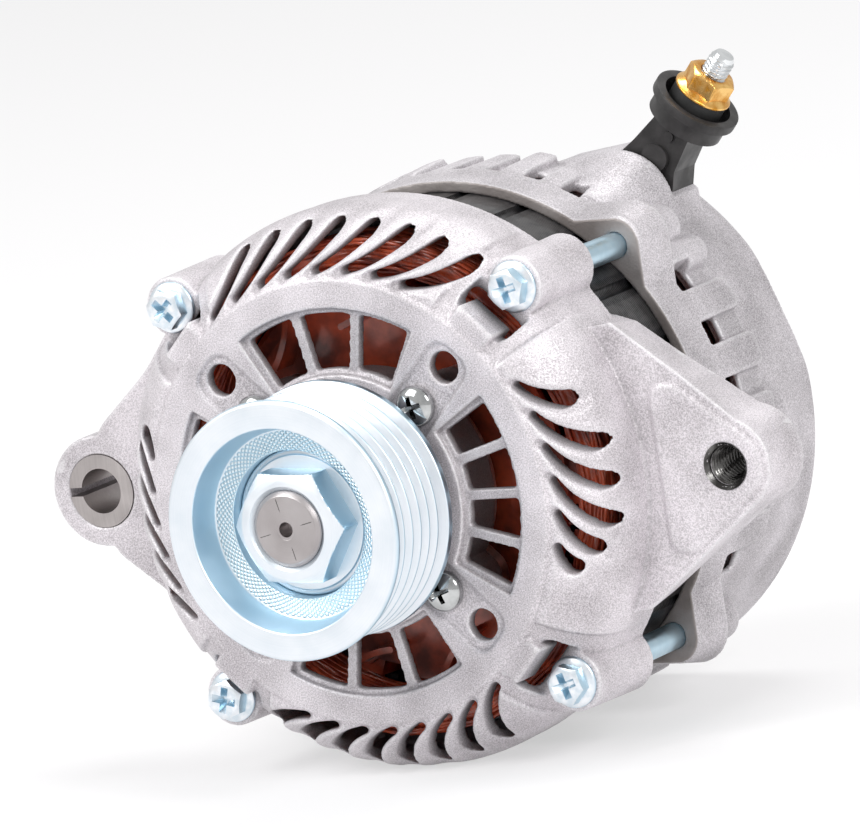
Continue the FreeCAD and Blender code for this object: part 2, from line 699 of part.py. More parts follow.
def adjusting_ear():
    """The right-hand ear: a thick web with a stepped pad round the threaded hole."""
    back = ADJUST_FACE_Y + ADJUST_EAR_THICKNESS
    front = ADJUST_FACE_Y + ADJUST_PAD_STEP
    web = plate([(ADJUST_X, ADJUST_EAR_R * 1.18, 10), (ADJUST_ROOT_X, ADJUST_ROOT_HALF, 0),
                 (30, ADJUST_ROOT_HALF + 8, 0), (30, -ADJUST_ROOT_HALF - 8, 0),
                 (ADJUST_ROOT_X, -ADJUST_ROOT_HALF, 0), (ADJUST_X, -ADJUST_EAR_R * 1.18, 10)], front, back)
    tip = cone(ADJUST_EAR_R, ADJUST_EAR_R + ADJUST_EAR_TAPER, front, back, ADJUST_X)
    pad = plate([(ADJUST_PAD_X, ADJUST_PAD_HALF, 3), (ADJUST_PAD_X + 6, ADJUST_PAD_HALF, 3),
                 (ADJUST_X + 8.5, 4.0, 5), (ADJUST_X + 8.5, -4.0, 5),
                 (ADJUST_PAD_X + 6, -ADJUST_PAD_HALF, 3), (ADJUST_PAD_X, -ADJUST_PAD_HALF, 3)],
                ADJUST_FACE_Y, front + 1)
    return joined([web, tip, pad])


def bolt_lobe(angle):
    """The tapered boss round one through bolt, and the raised pad beside it."""
    spot = polar(BOLT_X * math.sqrt(2), angle)
    boss = cone(LOBE_FRONT_R, LOBE_REAR_R, BOLT_SEAT_Y, FRONT_RIM_Y, spot.x, spot.z)
    half = PAD_WIDTH / 2
    pad = plate([(PAD_INNER_R, half, 2), (PAD_OUTER_R, half, 2), (PAD_OUTER_R, -half, 2),
                 (PAD_INNER_R, -half, 2)], PAD_TOP_Y, BOLT_SEAT_Y)
    return boss, turned(pad, angle)


def bolt_access(angle):
    """The space in front of a through bolt's seat, and the slot beside its head."""
    reach = BOLT_X * math.sqrt(2)
    half = ACCESS_WIDTH / 2
    channel = plate([(ACCESS_INNER_R, half, 3), (reach, half, 3), (reach + 12, half, 0),
                     (reach + 12, -half, 0), (reach, -half, 3), (ACCESS_INNER_R, -half, 3)],
                    FACE_Y - 1, BOLT_SEAT_Y)
    slot = block(BOLT_SLOT_R - BOLT_SLOT_WIDTH / 2, BOLT_SLOT_R + BOLT_SLOT_WIDTH / 2,
                 FACE_Y, BOLT_SEAT_Y + 8, -BOLT_SLOT_LENGTH / 2, BOLT_SLOT_LENGTH / 2)
    hole = rod(BOLT_HOLE_R, BOLT_SEAT_Y - 1, PIVOT_FACE_Y + PIVOT_EAR_THICKNESS + 1, reach)
    return [turned(cutter, angle) for cutter in (channel, slot, hole)]


def window_group(angle, ribs):
    """The cutters of one group of windows: a shallow recess, and the openings between its ribs."""
    recess = sector(WINDOW_INNER_R, WINDOW_OUTER_R, angle - WINDOW_HALF_SPAN, angle + WINDOW_HALF_SPAN,
                    FACE_Y - 1, FACE_Y + WINDOW_RECESS)
    opening = sector(WINDOW_INNER_R + 1.2, WINDOW_OUTER_R - 1.2, angle - WINDOW_HALF_SPAN + 2,
                     angle + WINDOW_HALF_SPAN - 2, FACE_Y, FACE_Y + FACE_WALL + 1)
    bars = []
    for rib in ribs:
        half = WINDOW_RIB_WIDTH / 2
        bar = block(WINDOW_INNER_R - 2, WINDOW_OUTER_R + 2, FACE_Y - 1, FACE_Y + FACE_WALL + 2, -half, half)
        bars.append(turned(bar, angle + rib))
    return [recess, opening.cut(Part.makeCompound(bars))]


def louvre_group(angle, count, full_from, full_to):
    """The cutters of one group of louvres. Those outside the full range are shorter."""
    cutters = []
    for index in range(count):
        offset = (index - (count - 1) / 2) * LOUVRE_PITCH
        outer_r = LOUVRE_OUTER_R
        if index < full_from:
            outer_r = LOUVRE_SHORTEST_R if index == 0 and full_from > 1 else LOUVRE_SHORT_R
        if index > full_to:
            outer_r = LOUVRE_SHORT_R
        share = (outer_r - LOUVRE_INNER_R) / (LOUVRE_OUTER_R - LOUVRE_INNER_R)
        cutters.append(arc_slot(LOUVRE_INNER_R, outer_r, angle + LOUVRE_SWEEP / 2 + offset,
                                LOUVRE_SWEEP * share, (LOUVRE_WIDTH_IN, LOUVRE_WIDTH_OUT),
                                FACE_Y, LOUVRE_DEPTH_Y))
    return cutters


def front_bracket():
    """The front casting: louvred shoulder, windowed face, bearing housing, bolt lobes and two ears."""
    outside = [front_skin(), pivot_ear(), adjusting_ear()] + raised_panels()
    for angle in DIAGONALS:
        outside += bolt_lobe(angle)
    casting = joined(outside).cut(front_cavity())
    bosses = []
    for angle in DIAGONALS:
        spot = polar(RETAINER_SCREW_R, angle)
        bosses.append(rod(SCREW_BOSS_R, FACE_Y + 1, HOUSING_END_Y, spot.x, spot.z))
    casting = joined([casting] + bosses)
    cutters = [rod(SHAFT_HOLE_R, FACE_Y - 1, FRONT_BEARING_Y + 1),
               rod(FRONT_BEARING_R + PRESS_CLEARANCE, FRONT_BEARING_Y, HOUSING_END_Y + 1),
               rod(PIVOT_BUSH_R + PRESS_CLEARANCE, PIVOT_FACE_Y - 1,
                   PIVOT_FACE_Y + PIVOT_BUSH_LENGTH + 1, PIVOT_X),
               rod(ADJUST_HOLE_R, ADJUST_FACE_Y - 1, ADJUST_FACE_Y + ADJUST_EAR_THICKNESS + 1, ADJUST_X),
               cone(ADJUST_CHAMFER_R, ADJUST_HOLE_R, ADJUST_FACE_Y,
                    ADJUST_FACE_Y + ADJUST_CHAMFER_R - ADJUST_HOLE_R, ADJUST_X)]
    for angle in DIAGONALS:
        cutters += bolt_access(angle)
        half = DIAGONAL_SLOT_WIDTH / 2
        slot = plate([(SHAFT_HOLE_R + 8, half, 0), (DIAGONAL_SLOT_END_R, half, 4),
                      (DIAGONAL_SLOT_END_R, -half, 4), (SHAFT_HOLE_R + 8, -half, 0)],
                     FACE_Y - 1, FACE_Y + SCREW_SEAT_DEPTH)
        vent = rod(DIAGONAL_VENT_R, FACE_Y - 1, FACE_Y + FACE_WALL + 1, DIAGONAL_VENT_AT)
        hole = rod(SCREW_HOLE_R, FACE_Y - 1, HOUSING_END_Y + 1, RETAINER_SCREW_R)
        cutters += [turned(cutter, angle) for cutter in (slot, vent, hole)]
    for angle in CARDINALS:
        ribs = TOP_RIBS if angle in (90.0, 270.0) else SIDE_RIBS
        cutters += window_group(angle, ribs)
    cutters += louvre_group(90.0, LOUVRE_TOP_COUNT, 0, LOUVRE_TOP_COUNT)
    cutters += louvre_group(270.0, LOUVRE_TOP_COUNT, 0, LOUVRE_TOP_COUNT)
    cutters += louvre_group(1.5, LOUVRE_SIDE_COUNT, 2, LOUVRE_SIDE_COUNT - 2)
    cutters += louvre_group(181.5, LOUVRE_SIDE_COUNT, 2, LOUVRE_SIDE_COUNT - 2)
    for cutter in cutters + beyond(FRONT_FLAT_Z, FACE_Y)[1:]:
        casting = casting.cut(cutter)
    return casting


def pivot_bush():
    """Split steel sleeve in the pivot ear, its slit facing outward."""
    sleeve = tube(PIVOT_BUSH_R, PIVOT_BUSH_BORE_R, PIVOT_FACE_Y, PIVOT_FACE_Y + PIVOT_BUSH_LENGTH, PIVOT_X)
    half = PIVOT_BUSH_SLIT / 2
    slit = block(PIVOT_X - PIVOT_BUSH_R - 1, PIVOT_X, PIVOT_FACE_Y - 1,
                 PIVOT_FACE_Y + PIVOT_BUSH_LENGTH + 1, -half, half)
    return sleeve.cut(slit)


def bearing_retainer():
    """Four-eared plate behind the front bearing, tapped for the four screws."""
    back = HOUSING_END_Y + RETAINER_THICKNESS
    parts = [rod(RETAINER_RING_R, HOUSING_END_Y, back)]
    holes = [rod(RETAINER_BORE_R, HOUSING_END_Y - 1, back + 1)]
    for angle in DIAGONALS:
        spot = polar(RETAINER_SCREW_R, angle)
        parts.append(rod(RETAINER_EAR_R, HOUSING_END_Y, back, spot.x, spot.z))
        arm = block(0, RETAINER_SCREW_R, HOUSING_END_Y, back, -RETAINER_EAR_R, RETAINER_EAR_R)
        parts.append(turned(arm, angle))
        holes.append(rod(SCREW_R + PRESS_CLEARANCE, HOUSING_END_Y - 1, back + 1, spot.x, spot.z))
    return joined(parts).cut(Part.makeCompound(holes))


def retainer_screws():
    """Four pan-head screws that reach through the face into the retainer plate."""
    seat = FACE_Y + SCREW_SEAT_DEPTH
    end = HOUSING_END_Y + RETAINER_THICKNESS + 0.5
    top = seat - SCREW_HEAD_HEIGHT
    screw = swept_round([(0, top), ((SCREW_HEAD_R * 0.72, top + SCREW_HEAD_HEIGHT * 0.28),
                                    (SCREW_HEAD_R, seat - 0.6)),
                         (SCREW_HEAD_R, seat), (SCREW_R, seat), (SCREW_R, end), (0, end)])
    screws = []
    for angle in DIAGONALS:
        copy = screw.copy()
        copy.translate(polar(RETAINER_SCREW_R, angle))
        screws.append(copy)
    return screws


def through_bolts():
    """Four long bolts that clamp the stator between the brackets."""
    flange_top = BOLT_SEAT_Y - BOLT_FLANGE_THICKNESS
    head_top = BOLT_SEAT_Y - BOLT_HEAD_HEIGHT
    corner_r = BOLT_HEX_FLATS / math.sqrt(3)
    head = hexagon(BOLT_HEX_FLATS, head_top, flange_top, 0.0)
    crown = cone(BOLT_HEX_FLATS / 2 - 0.2, BOLT_HEX_FLATS / 2 + 7.0, head_top, flange_top)
    head = head.common(crown.common(rod(corner_r, head_top, flange_top)))
    bolt = joined([head, cone(BOLT_HEX_FLATS / 2, BOLT_FLANGE_R, flange_top, BOLT_SEAT_Y - 0.5),
                   rod(BOLT_FLANGE_R, BOLT_SEAT_Y - 0.5, BOLT_SEAT_Y),
                   rod(BOLT_R, BOLT_SEAT_Y - 0.1, REAR_RIM_Y + BOLT_THREAD_DEPTH)])
    bolts = []
    for index, angle in enumerate(DIAGONALS):
        copy = turned(bolt, 17.0 * index)
        copy.translate(polar(BOLT_X * math.sqrt(2), angle))
        bolts.append(copy)
    return bolts


# Stator

def stator_core():
    """Laminated ring with open slots in its bore and shallow grooves round its outside."""
    end = CORE_Y + CORE_LENGTH
    core = tube(CORE_R, CORE_BORE_R, CORE_Y, end)
    slot = block(CORE_BORE_R - 1, CORE_BORE_R + SLOT_DEPTH, CORE_Y - 1, end + 1,
                 -SLOT_WIDTH / 2, SLOT_WIDTH / 2)
    cutters = [turned(slot, 360.0 * index / SLOT_COUNT) for index in range(SLOT_COUNT)]
    for index in range(CORE_NOTCH_COUNT):
        spot = polar(CORE_R + 0.6, 360.0 * (index + 0.5) / CORE_NOTCH_COUNT)
        cutters.append(rod(CORE_NOTCH_R, CORE_Y - 1, end + 1, spot.x, spot.z))
    return core.cut(Part.makeCompound(cutters))


def stator_windings():
    """The varnished winding: a bar in each slot, and a ring of end turns at each end."""
    end = CORE_Y + CORE_LENGTH
    gap = WINDING_CLEARANCE
    bar_r = END_TURN_INNER_R + gap
    bar = block(bar_r, CORE_BORE_R + SLOT_DEPTH - gap, CORE_Y - 2, end + 2,
                -SLOT_WIDTH / 2 + gap, SLOT_WIDTH / 2 - gap)
    parts = []
    for base, way in ((CORE_Y - gap, -1), (end + gap, 1)):
        tip = base + way * END_TURN_HEIGHT
        middle = (END_TURN_INNER_R + END_TURN_OUTER_R) / 2
        round_y = tip - way * END_TURN_ROUND
        parts.append(swept_round([
            (END_TURN_INNER_R, base), (END_TURN_INNER_R, round_y),
            ((middle, tip), (END_TURN_OUTER_R, round_y)), (END_TURN_OUTER_R, base)]))
    parts += [turned(bar, 360.0 * index / SLOT_COUNT) for index in range(SLOT_COUNT)]
    return joined(parts)


# Rear bracket

def rear_cavity():
    """The space inside the rear bracket."""
    seat_r = CORE_R + PRESS_CLEARANCE
    core_end = CORE_Y + CORE_LENGTH
    wall_r = REAR_R - REAR_WALL
    end_r = REAR_CAVITY_END_R
    back = REAR_END_Y - REAR_WALL
    inner_corner = REAR_CORNER
    return swept_round([
        (0, REAR_RIM_Y - 1), (seat_r, REAR_RIM_Y - 1), (seat_r, core_end), (seat_r - 1.5, core_end),
        (wall_r, core_end + 2), (wall_r, REAR_TAPER_Y), (end_r, back - inner_corner),
        ((end_r - inner_corner * 0.29, back - inner_corner * 0.29), (end_r - inner_corner, back)),
        (REAR_HOUSING_R, back), (REAR_HOUSING_R, REAR_BEARING_Y - 0.5), (0, REAR_BEARING_Y - 0.5)])


def rear_tongues():
    """The raised tongues between the rear bracket's holes, and the holes."""
    tongues = []
    holes = []
    groups = [(REAR_SIDE_CENTRE, REAR_SIDE_PITCH, REAR_SIDE_COUNT),
              (REAR_TOP_CENTRE, REAR_TOP_PITCH, REAR_TOP_COUNT),
              (REAR_SIDE_CENTRE + 180, REAR_SIDE_PITCH, REAR_SIDE_COUNT),
              (REAR_TOP_CENTRE + 180, REAR_TOP_PITCH, REAR_TOP_COUNT)]
    for centre, pitch, count in groups:
        half_hole = pitch * REAR_HOLE_SHARE / 2
        for index in range(count):
            angle = centre + (index - (count - 1) / 2) * pitch
            holes.append(sector(REAR_R - REAR_WALL - 3, REAR_TONGUE_R + 3,
                                angle - half_hole, angle + half_hole,
                                REAR_SKIRT_END_Y, REAR_SKIRT_END_Y + REAR_HOLE_LENGTH))
            if index < count - 1:
                tongues.append(sector(REAR_R - 1.5, REAR_TONGUE_R,
                                      angle + half_hole, angle + pitch - half_hole,
                                      REAR_SKIRT_END_Y - 0.5, REAR_TONGUE_END_Y))
    return tongues, holes


def rear_band():
    """The square band with rounded corners that takes the ends of the through bolts."""
    wires = []
    for half, corner, y in ((BAND_FRONT_HALF, BAND_FRONT_CORNER, REAR_RIM_Y),
                            (BAND_BACK_HALF, BAND_BACK_CORNER, REAR_SKIRT_END_Y)):
        wires.append(rounded_outline([(half, half, corner), (-half, half, corner),
                                      (-half, -half, corner), (half, -half, corner)], y))
    return Part.makeLoft(wires, True, True)


def above_top(drop):
    """What lies above the falling top of the rear casting, or above a level below it."""
    far = BODY_R * 2
    start = REAR_SKIRT_END_Y
    corners = [Vec(-far, y, REAR_TOP_Z - drop - (y - REAR_TONGUE_END_Y) * REAR_TOP_FALL)
               for y in (start, REAR_END_Y + 1)]
    corners += [Vec(-far, REAR_END_Y + 1, far), Vec(-far, start, far), corners[0]]
    return Part.Face(Part.makePolygon(corners)).extrude(Vec(2 * far, 0, 0))


def rear_skin():
    """The rear bracket's outer form of revolution, still solid, with its bearing housing."""
    corner = REAR_CORNER
    return swept_round([
        (0, REAR_RIM_Y), (REAR_RIM_R, REAR_RIM_Y), (REAR_TONGUE_R, REAR_SKIRT_END_Y),
        (REAR_R, REAR_SKIRT_END_Y), (REAR_R, REAR_TAPER_Y), (REAR_TAPER_R, REAR_END_Y - corner),
        ((REAR_TAPER_R - corner * 0.29, REAR_END_Y - corner * 0.29), (REAR_TAPER_R - corner, REAR_END_Y)),
        (REAR_HOUSING_R + 1.5, REAR_END_Y), (REAR_HOUSING_R, HOUSING_REAR_Y - 1),
        (REAR_HOUSING_R - 1, HOUSING_REAR_Y), (0, HOUSING_REAR_Y)])


def fixing_bosses():
    """Posts on the rear wall that carry the rectifier's plates and the regulator."""
    posts = []
    for angle in FIXING_ANGLES:
        spot = polar(FIXING_AT_R, angle)
        posts.append(rod(BOSS_R, NEGATIVE_PLATE_Y + PLATE_THICKNESS, REAR_END_Y - REAR_WALL + 1,
                         spot.x, spot.z))
    for spot in regulator_fixings():
        posts.append(rod(BOSS_R, REGULATOR_Y + REGULATOR_DEPTH, REAR_END_Y - REAR_WALL + 1, spot.x, spot.z))
    return posts


def terminal_hump():
    """The casting's rise in front of the terminal, and the level seat that the stand bears on."""
    wires = [rounded_outline(list(HUMP_ROOT_OUTLINE), HUMP_ROOT_Y),
             rounded_outline(list(HUMP_OUTLINE), HUMP_FULL_Y)]
    ramp = Part.makeLoft(wires, True, True)
    rise = plate(list(HUMP_OUTLINE), HUMP_FULL_Y, HUMP_END_Y)
    front = STEM_FRONT + STAND_BOSS_RISE + 0.4
    above_seat = block(-BODY_R, BODY_R, -front, BODY_R, STAND_SEAT_AT, STAND_SEAT_AT + BODY_R)
    return joined([ramp, rise]).cut(terminal_frame(above_seat))


def rear_bracket():
    """The rear casting: ribbed and holed skirt, bolt lobes, vented end wall and bearing housing."""
    tongues, holes = rear_tongues()
    chord = block(REAR_CHORD_AT, BODY_R * 2, REAR_TONGUE_END_Y, REAR_END_Y + 1, -BODY_R, BODY_R)
    skin = rear_skin().cut(turned(chord, REAR_CHORD_ANGLE))
    for cutter in beyond(REAR_FLAT_Z, REAR_SKIRT_END_Y) + [above_top(0)]:
        skin = skin.cut(cutter)
    outside = [skin, rear_band()] + tongues
    for angle in DIAGONALS:
        spot = polar(BOLT_X * math.sqrt(2), angle)
        outside.append(cone(REAR_LOBE_R, REAR_LOBE_R - 1.2, REAR_RIM_Y + 1, REAR_LOBE_END_Y, spot.x, spot.z))
    boss = polar(SIDE_BOSS_AT, SIDE_BOSS_ANGLE)
    outside.append(rod(SIDE_BOSS_R, REAR_SKIRT_END_Y, SIDE_BOSS_END_Y, boss.x, boss.z))
    outside.append(Part.makeSphere(SIDE_BOSS_R, Vec(boss.x, SIDE_BOSS_END_Y, boss.z)))
    outside.append(terminal_hump())
    casting = joined(outside).cut(rear_cavity().cut(above_top(REAR_WALL * 0.8)))
    casting = joined([casting] + fixing_bosses())
    cutters = holes + beyond(REAR_TONGUE_FLAT_Z, REAR_RIM_Y - 1)[1:]
    cutters.append(rod(REAR_BEARING_R + PRESS_CLEARANCE,
                       REAR_BEARING_Y - 1, REAR_BEARING_Y + REAR_BEARING_WIDTH))
    for angle in DIAGONALS:
        spot = polar(BOLT_X * math.sqrt(2), angle)
        cutters.append(rod(BOLT_R + PRESS_CLEARANCE, REAR_RIM_Y - 1,
                           REAR_RIM_Y + BOLT_THREAD_DEPTH + 1, spot.x, spot.z))
    for angle in REAR_VENT_ANGLES:
        vent = block(REAR_VENT_INNER_R, REAR_VENT_OUTER_R, REAR_END_Y - REAR_WALL - 1, REAR_END_Y + 1,
                     -REAR_VENT_HALF, REAR_VENT_HALF)
        cutters.append(turned(vent, angle))
    for angle in FIXING_ANGLES:
        spot = polar(FIXING_AT_R, angle)
        cutters.append(rod(FIXING_SCREW_R + PRESS_CLEARANCE, NEGATIVE_PLATE_Y, REAR_END_Y - 1,
                           spot.x, spot.z))
    for spot in regulator_fixings() + holder_fixings():
        cutters.append(rod(FIXING_SCREW_R + PRESS_CLEARANCE, REGULATOR_Y, REAR_END_Y - 1, spot.x, spot.z))
    cutters.append(terminal_frame(upright(STAND_FOOT_R + PRESS_CLEARANCE, STAND_FOOT_BOTTOM_AT - 6,
                                          STAND_SEAT_AT + 1)))
    cutters.append(socket_opening())
    for cutter in cutters:
        casting = casting.cut(cutter)
    return casting


# Rotor

def pole_half():
    """One claw-pole half with its fingers pointing to +Y, its outer face at y = 0."""
    depth = ROTOR_LENGTH - POLE_TIP_GAP
    disc = rod(POLE_DISC_R, 0, POLE_DISC)
    ring = revolved([(POLE_DISC_R - 4, 0), (ROTOR_R - 1.5, 0), (ROTOR_R, 1.5), (ROTOR_R, depth),
                     (ROTOR_R - POLE_TIP_DEPTH, depth), (ROTOR_R - POLE_ROOT_DEPTH, POLE_DISC),
                     (POLE_DISC_R - 4, POLE_DISC)])
    root = POLE_ROOT_WIDTH / 2
    tip = POLE_TIP_WIDTH / 2
    corners = [Vec(0, 0, -root), Vec(0, POLE_DISC, -root), Vec(0, depth, -tip),
               Vec(0, depth, tip), Vec(0, POLE_DISC, root), Vec(0, 0, root)]
    wedge = Part.Face(Part.makePolygon(corners + corners[:1])).extrude(Vec(ROTOR_R + 2, 0, 0))
    finger = ring.common(wedge)
    fingers = [turned(finger, 360.0 * index / POLE_COUNT) for index in range(POLE_COUNT)]
    half_hub = rod(POLE_HUB_R, 0, ROTOR_LENGTH / 2)
    half = joined([disc, half_hub] + fingers)
    return half.cut(rod(SHAFT_ROTOR_R + PRESS_CLEARANCE, -1, ROTOR_LENGTH))


def claw_poles():
    """The front half, and the rear half that faces it, turned by half a finger's pitch."""
    front = pole_half()
    rear = front.copy()
    rear.rotate(Vec(0, 0, 0), Vec(0, 0, 1), 180)
    rear = turned(rear, 180.0 / POLE_COUNT)
    front.translate(Vec(0, ROTOR_Y, 0))
    rear.translate(Vec(0, ROTOR_Y + ROTOR_LENGTH, 0))
    return front, rear


def coil_bobbin():
    """Plastic spool on the poles' hub."""
    start = ROTOR_Y + POLE_DISC + PRESS_CLEARANCE
    end = ROTOR_Y + ROTOR_LENGTH - POLE_DISC - PRESS_CLEARANCE
    inner_r = POLE_HUB_R + PRESS_CLEARANCE
    return revolved([
        (inner_r, start), (COIL_R, start), (COIL_R, start + BOBBIN_WALL),
        (inner_r + BOBBIN_WALL, start + BOBBIN_WALL), (inner_r + BOBBIN_WALL, end - BOBBIN_WALL),
        (COIL_R, end - BOBBIN_WALL), (COIL_R, end), (inner_r, end)])


def field_coil():
    """The wound wire on the bobbin, as one ring."""
    start = ROTOR_Y + POLE_DISC + BOBBIN_WALL + 2 * PRESS_CLEARANCE
    end = ROTOR_Y + ROTOR_LENGTH - POLE_DISC - BOBBIN_WALL - 2 * PRESS_CLEARANCE
    return tube(COIL_R - 1, POLE_HUB_R + BOBBIN_WALL + 2 * PRESS_CLEARANCE, start, end)


def fan(plate_y, way):
    """A pressed fan: a flat disc with bent-up blades. way is the side that the blades stand on."""
    plate_end = plate_y + way * FAN_PLATE
    blade_end = plate_end + way * FAN_BLADE_HEIGHT
    low, high = sorted((plate_y, plate_end))
    blade_low, blade_high = sorted((plate_end - way * 0.5, blade_end))
    parts = [tube(FAN_PLATE_R, SHAFT_SHOULDER_R + 4, low, high)]
    for index in range(FAN_BLADE_COUNT):
        angle = 360.0 * index / FAN_BLADE_COUNT
        for width, start, end in ((FAN_BLADE_THICKNESS, blade_low, blade_high),
                                  (FAN_BLADE_THICKNESS * 2, low, high)):
            parts.append(arc_slot(FAN_BLADE_INNER_R, FAN_BLADE_OUTER_R - FAN_BLADE_THICKNESS, angle,
                                  FAN_BLADE_LEAN, (width, width), start, end))
    return joined(parts)


def slip_rings():
    """Two copper rings on an insulating hub."""
    rings = []
    for index in range(2):
        start = RING_Y + index * (RING_WIDTH + RING_GAP)
        rings.append(tube(RING_R, RING_BORE_R, start, start + RING_WIDTH))
    return rings


def slip_ring_hub():
    """Insulating sleeve between the shaft and the slip rings."""
    start = RING_Y - 0.8
    end = RING_Y + 2 * RING_WIDTH + RING_GAP + 0.8
    sleeve = tube(RING_BORE_R - PRESS_CLEARANCE, SHAFT_RING_R + PRESS_CLEARANCE, start, end)
    first_end = RING_Y + RING_WIDTH
    divider = tube(RING_R - 0.4, RING_BORE_R - 0.5, first_end + PRESS_CLEARANCE,
                   first_end + RING_GAP - PRESS_CLEARANCE)
    return joined([sleeve, divider])


# Brush gear

def brush_centres():
    """The place along the shaft of each brush."""
    return [RING_Y + RING_WIDTH / 2 + index * (RING_WIDTH + RING_GAP) for index in range(2)]


def brush(y_mid):
    """A carbon brush standing on its slip ring."""
    bottom = RING_R + BRUSH_GAP
    body = block(-BRUSH_WIDTH / 2, BRUSH_WIDTH / 2, y_mid - BRUSH_THICKNESS / 2, y_mid + BRUSH_THICKNESS / 2,
                 bottom - 1, bottom + BRUSH_LENGTH)
    return body.cut(rod(RING_R + BRUSH_GAP, y_mid - BRUSH_THICKNESS, y_mid + BRUSH_THICKNESS))


def brush_spring(y_mid):
    """The coil spring between a brush and the top of its chamber, wound from square wire."""
    low = RING_R + BRUSH_GAP + BRUSH_LENGTH + PRESS_CLEARANCE + SPRING_WIRE / 2
    high = HOLDER_TOP_Z - HOLDER_WALL - PRESS_CLEARANCE - SPRING_WIRE / 2
    helix = Part.makeHelix((high - low) / SPRING_TURNS, high - low, SPRING_R)
    half = SPRING_WIRE / 2
    corners = [Vec(SPRING_R - half, 0, -half), Vec(SPRING_R + half, 0, -half),
               Vec(SPRING_R + half, 0, half), Vec(SPRING_R - half, 0, half)]
    section = Part.makePolygon(corners + corners[:1])
    coil = Part.Wire(helix).makePipeShell([section], True, True)
    coil.translate(Vec(0, y_mid, low))
    return coil


def brush_holder():
    """Plastic block with a chamber for each brush, and a flange that is screwed to the rear wall."""
    centres = brush_centres()
    half = BRUSH_WIDTH / 2 + BRUSH_SIDE_CLEARANCE
    reach = BRUSH_THICKNESS / 2 + BRUSH_SIDE_CLEARANCE
    back = centres[1] + reach + HOLDER_WALL
    chambers = block(-half - HOLDER_WALL, half + HOLDER_WALL, centres[0] - reach - HOLDER_WALL, back,
                     HOLDER_BOTTOM_Z, HOLDER_TOP_Z)
    flange = block(-HOLDER_FLANGE_X, HOLDER_FLANGE_X, back - 1, REAR_END_Y - REAR_WALL - PRESS_CLEARANCE,
                   HOLDER_FLANGE_Z, HOLDER_TOP_Z)
    body = joined([chambers, flange])
    for y_mid in centres:
        body = body.cut(block(-half, half, y_mid - reach, y_mid + reach, HOLDER_BOTTOM_Z - 1,
                              HOLDER_TOP_Z - HOLDER_WALL))
    for spot in holder_fixings():
        body = body.cut(rod(FIXING_SCREW_R + 0.3, back - 2, REAR_END_Y, spot.x, spot.z))
    return body


def holder_fixings():
    """The two places on the rear wall that the brush holder is screwed to."""
    return [Vec(side * HOLDER_SCREW_X, 0, HOLDER_SCREW_Z) for side in (-1, 1)]


def holder_screws():
    """Two screws through the brush holder's flange into the rear wall."""
    reach = BRUSH_THICKNESS / 2 + BRUSH_SIDE_CLEARANCE
    seat = brush_centres()[1] + reach + HOLDER_WALL - 1
    return [fixing_screw(spot, seat, REAR_END_Y - 1) for spot in holder_fixings()]


# Rectifier

def rectifier_plate(y, span, holes_r):
    """A horseshoe plate that carries a row of diodes."""
    base = sector(PLATE_INNER_R, PLATE_OUTER_R, span[0], span[1], y, y + PLATE_THICKNESS)
    cutters = []
    for angle in FIXING_ANGLES:
        spot = polar(FIXING_AT_R, angle)
        cutters.append(rod(holes_r, y - 1, y + PLATE_THICKNESS + 1, spot.x, spot.z))
    return base.cut(Part.makeCompound(cutters))


def positive_plate():
    """The front plate, with the lug that holds the output stud's head."""
    base = rectifier_plate(POSITIVE_PLATE_Y, POSITIVE_PLATE_SPAN, FIXING_SCREW_R + 0.5)
    front = POSITIVE_PLATE_Y + PLATE_THICKNESS
    half = STUD_HEAD_R + LUG_SIDE
    seat = STUD_HEAD_AT + STUD_HEAD_THICKNESS
    lug = block(-half, half, front - 1 - TERMINAL_Y, half, seat, seat + LUG_THICKNESS)
    hole = upright(STUD_R + PRESS_CLEARANCE, STUD_HEAD_AT, PLATE_OUTER_R * 2)
    return joined([base, terminal_frame(lug)]).cut(terminal_frame(hole))


def diodes(plate_y, way):
    """Pressed diodes standing on a plate. way is the side that their leads point to."""
    base = plate_y + PLATE_THICKNESS if way > 0 else plate_y
    solids = []
    for angle in DIODE_ANGLES:
        spot = polar(DIODE_AT_R, angle)
        low, high = sorted((base, base + way * 1.8))
        body = rod(DIODE_R, low, high, spot.x, spot.z)
        lead_low, lead_high = sorted((base + way * 1.0, base + way * 2.4))
        solids.append(joined([body, rod(DIODE_LEAD_R, lead_low, lead_high, spot.x, spot.z)]))
    return solids


def rectifier_spacers():
    """Insulating tubes that hold the two plates apart."""
    start = POSITIVE_PLATE_Y + PLATE_THICKNESS
    spacers = []
    for angle in FIXING_ANGLES:
        spot = polar(FIXING_AT_R, angle)
        spacers.append(tube(SPACER_R, FIXING_SCREW_R + 0.3, start, NEGATIVE_PLATE_Y, spot.x, spot.z))
    return spacers


def fixing_screw(spot, seat_y, end_y):
    """A screw whose head bears on its seat from the front."""
    head = rod(FIXING_HEAD_R, seat_y - FIXING_HEAD_HEIGHT, seat_y, spot.x, spot.z)
    return joined([head, rod(FIXING_SCREW_R, seat_y - 0.1, end_y, spot.x, spot.z)])


def rectifier_screws():
    """Screws through both plates into the rear wall's posts."""
    end = REAR_END_Y - 2
    return [fixing_screw(polar(FIXING_AT_R, angle), POSITIVE_PLATE_Y, end) for angle in FIXING_ANGLES]


# Output terminal

def terminal_stud():
    """Threaded stud with a flat head behind the positive plate's lug."""
    shank_end = STUD_TIP_AT - STUD_POINT
    shank = upright(STUD_R, STUD_HEAD_AT, shank_end)
    point = Part.makeCone(STUD_R, STUD_R - STUD_POINT, STUD_POINT, Vec(0, 0, shank_end))
    head = upright(STUD_HEAD_R, STUD_HEAD_AT, STUD_HEAD_AT + STUD_HEAD_THICKNESS)
    return terminal_frame(joined([shank, point, head]))


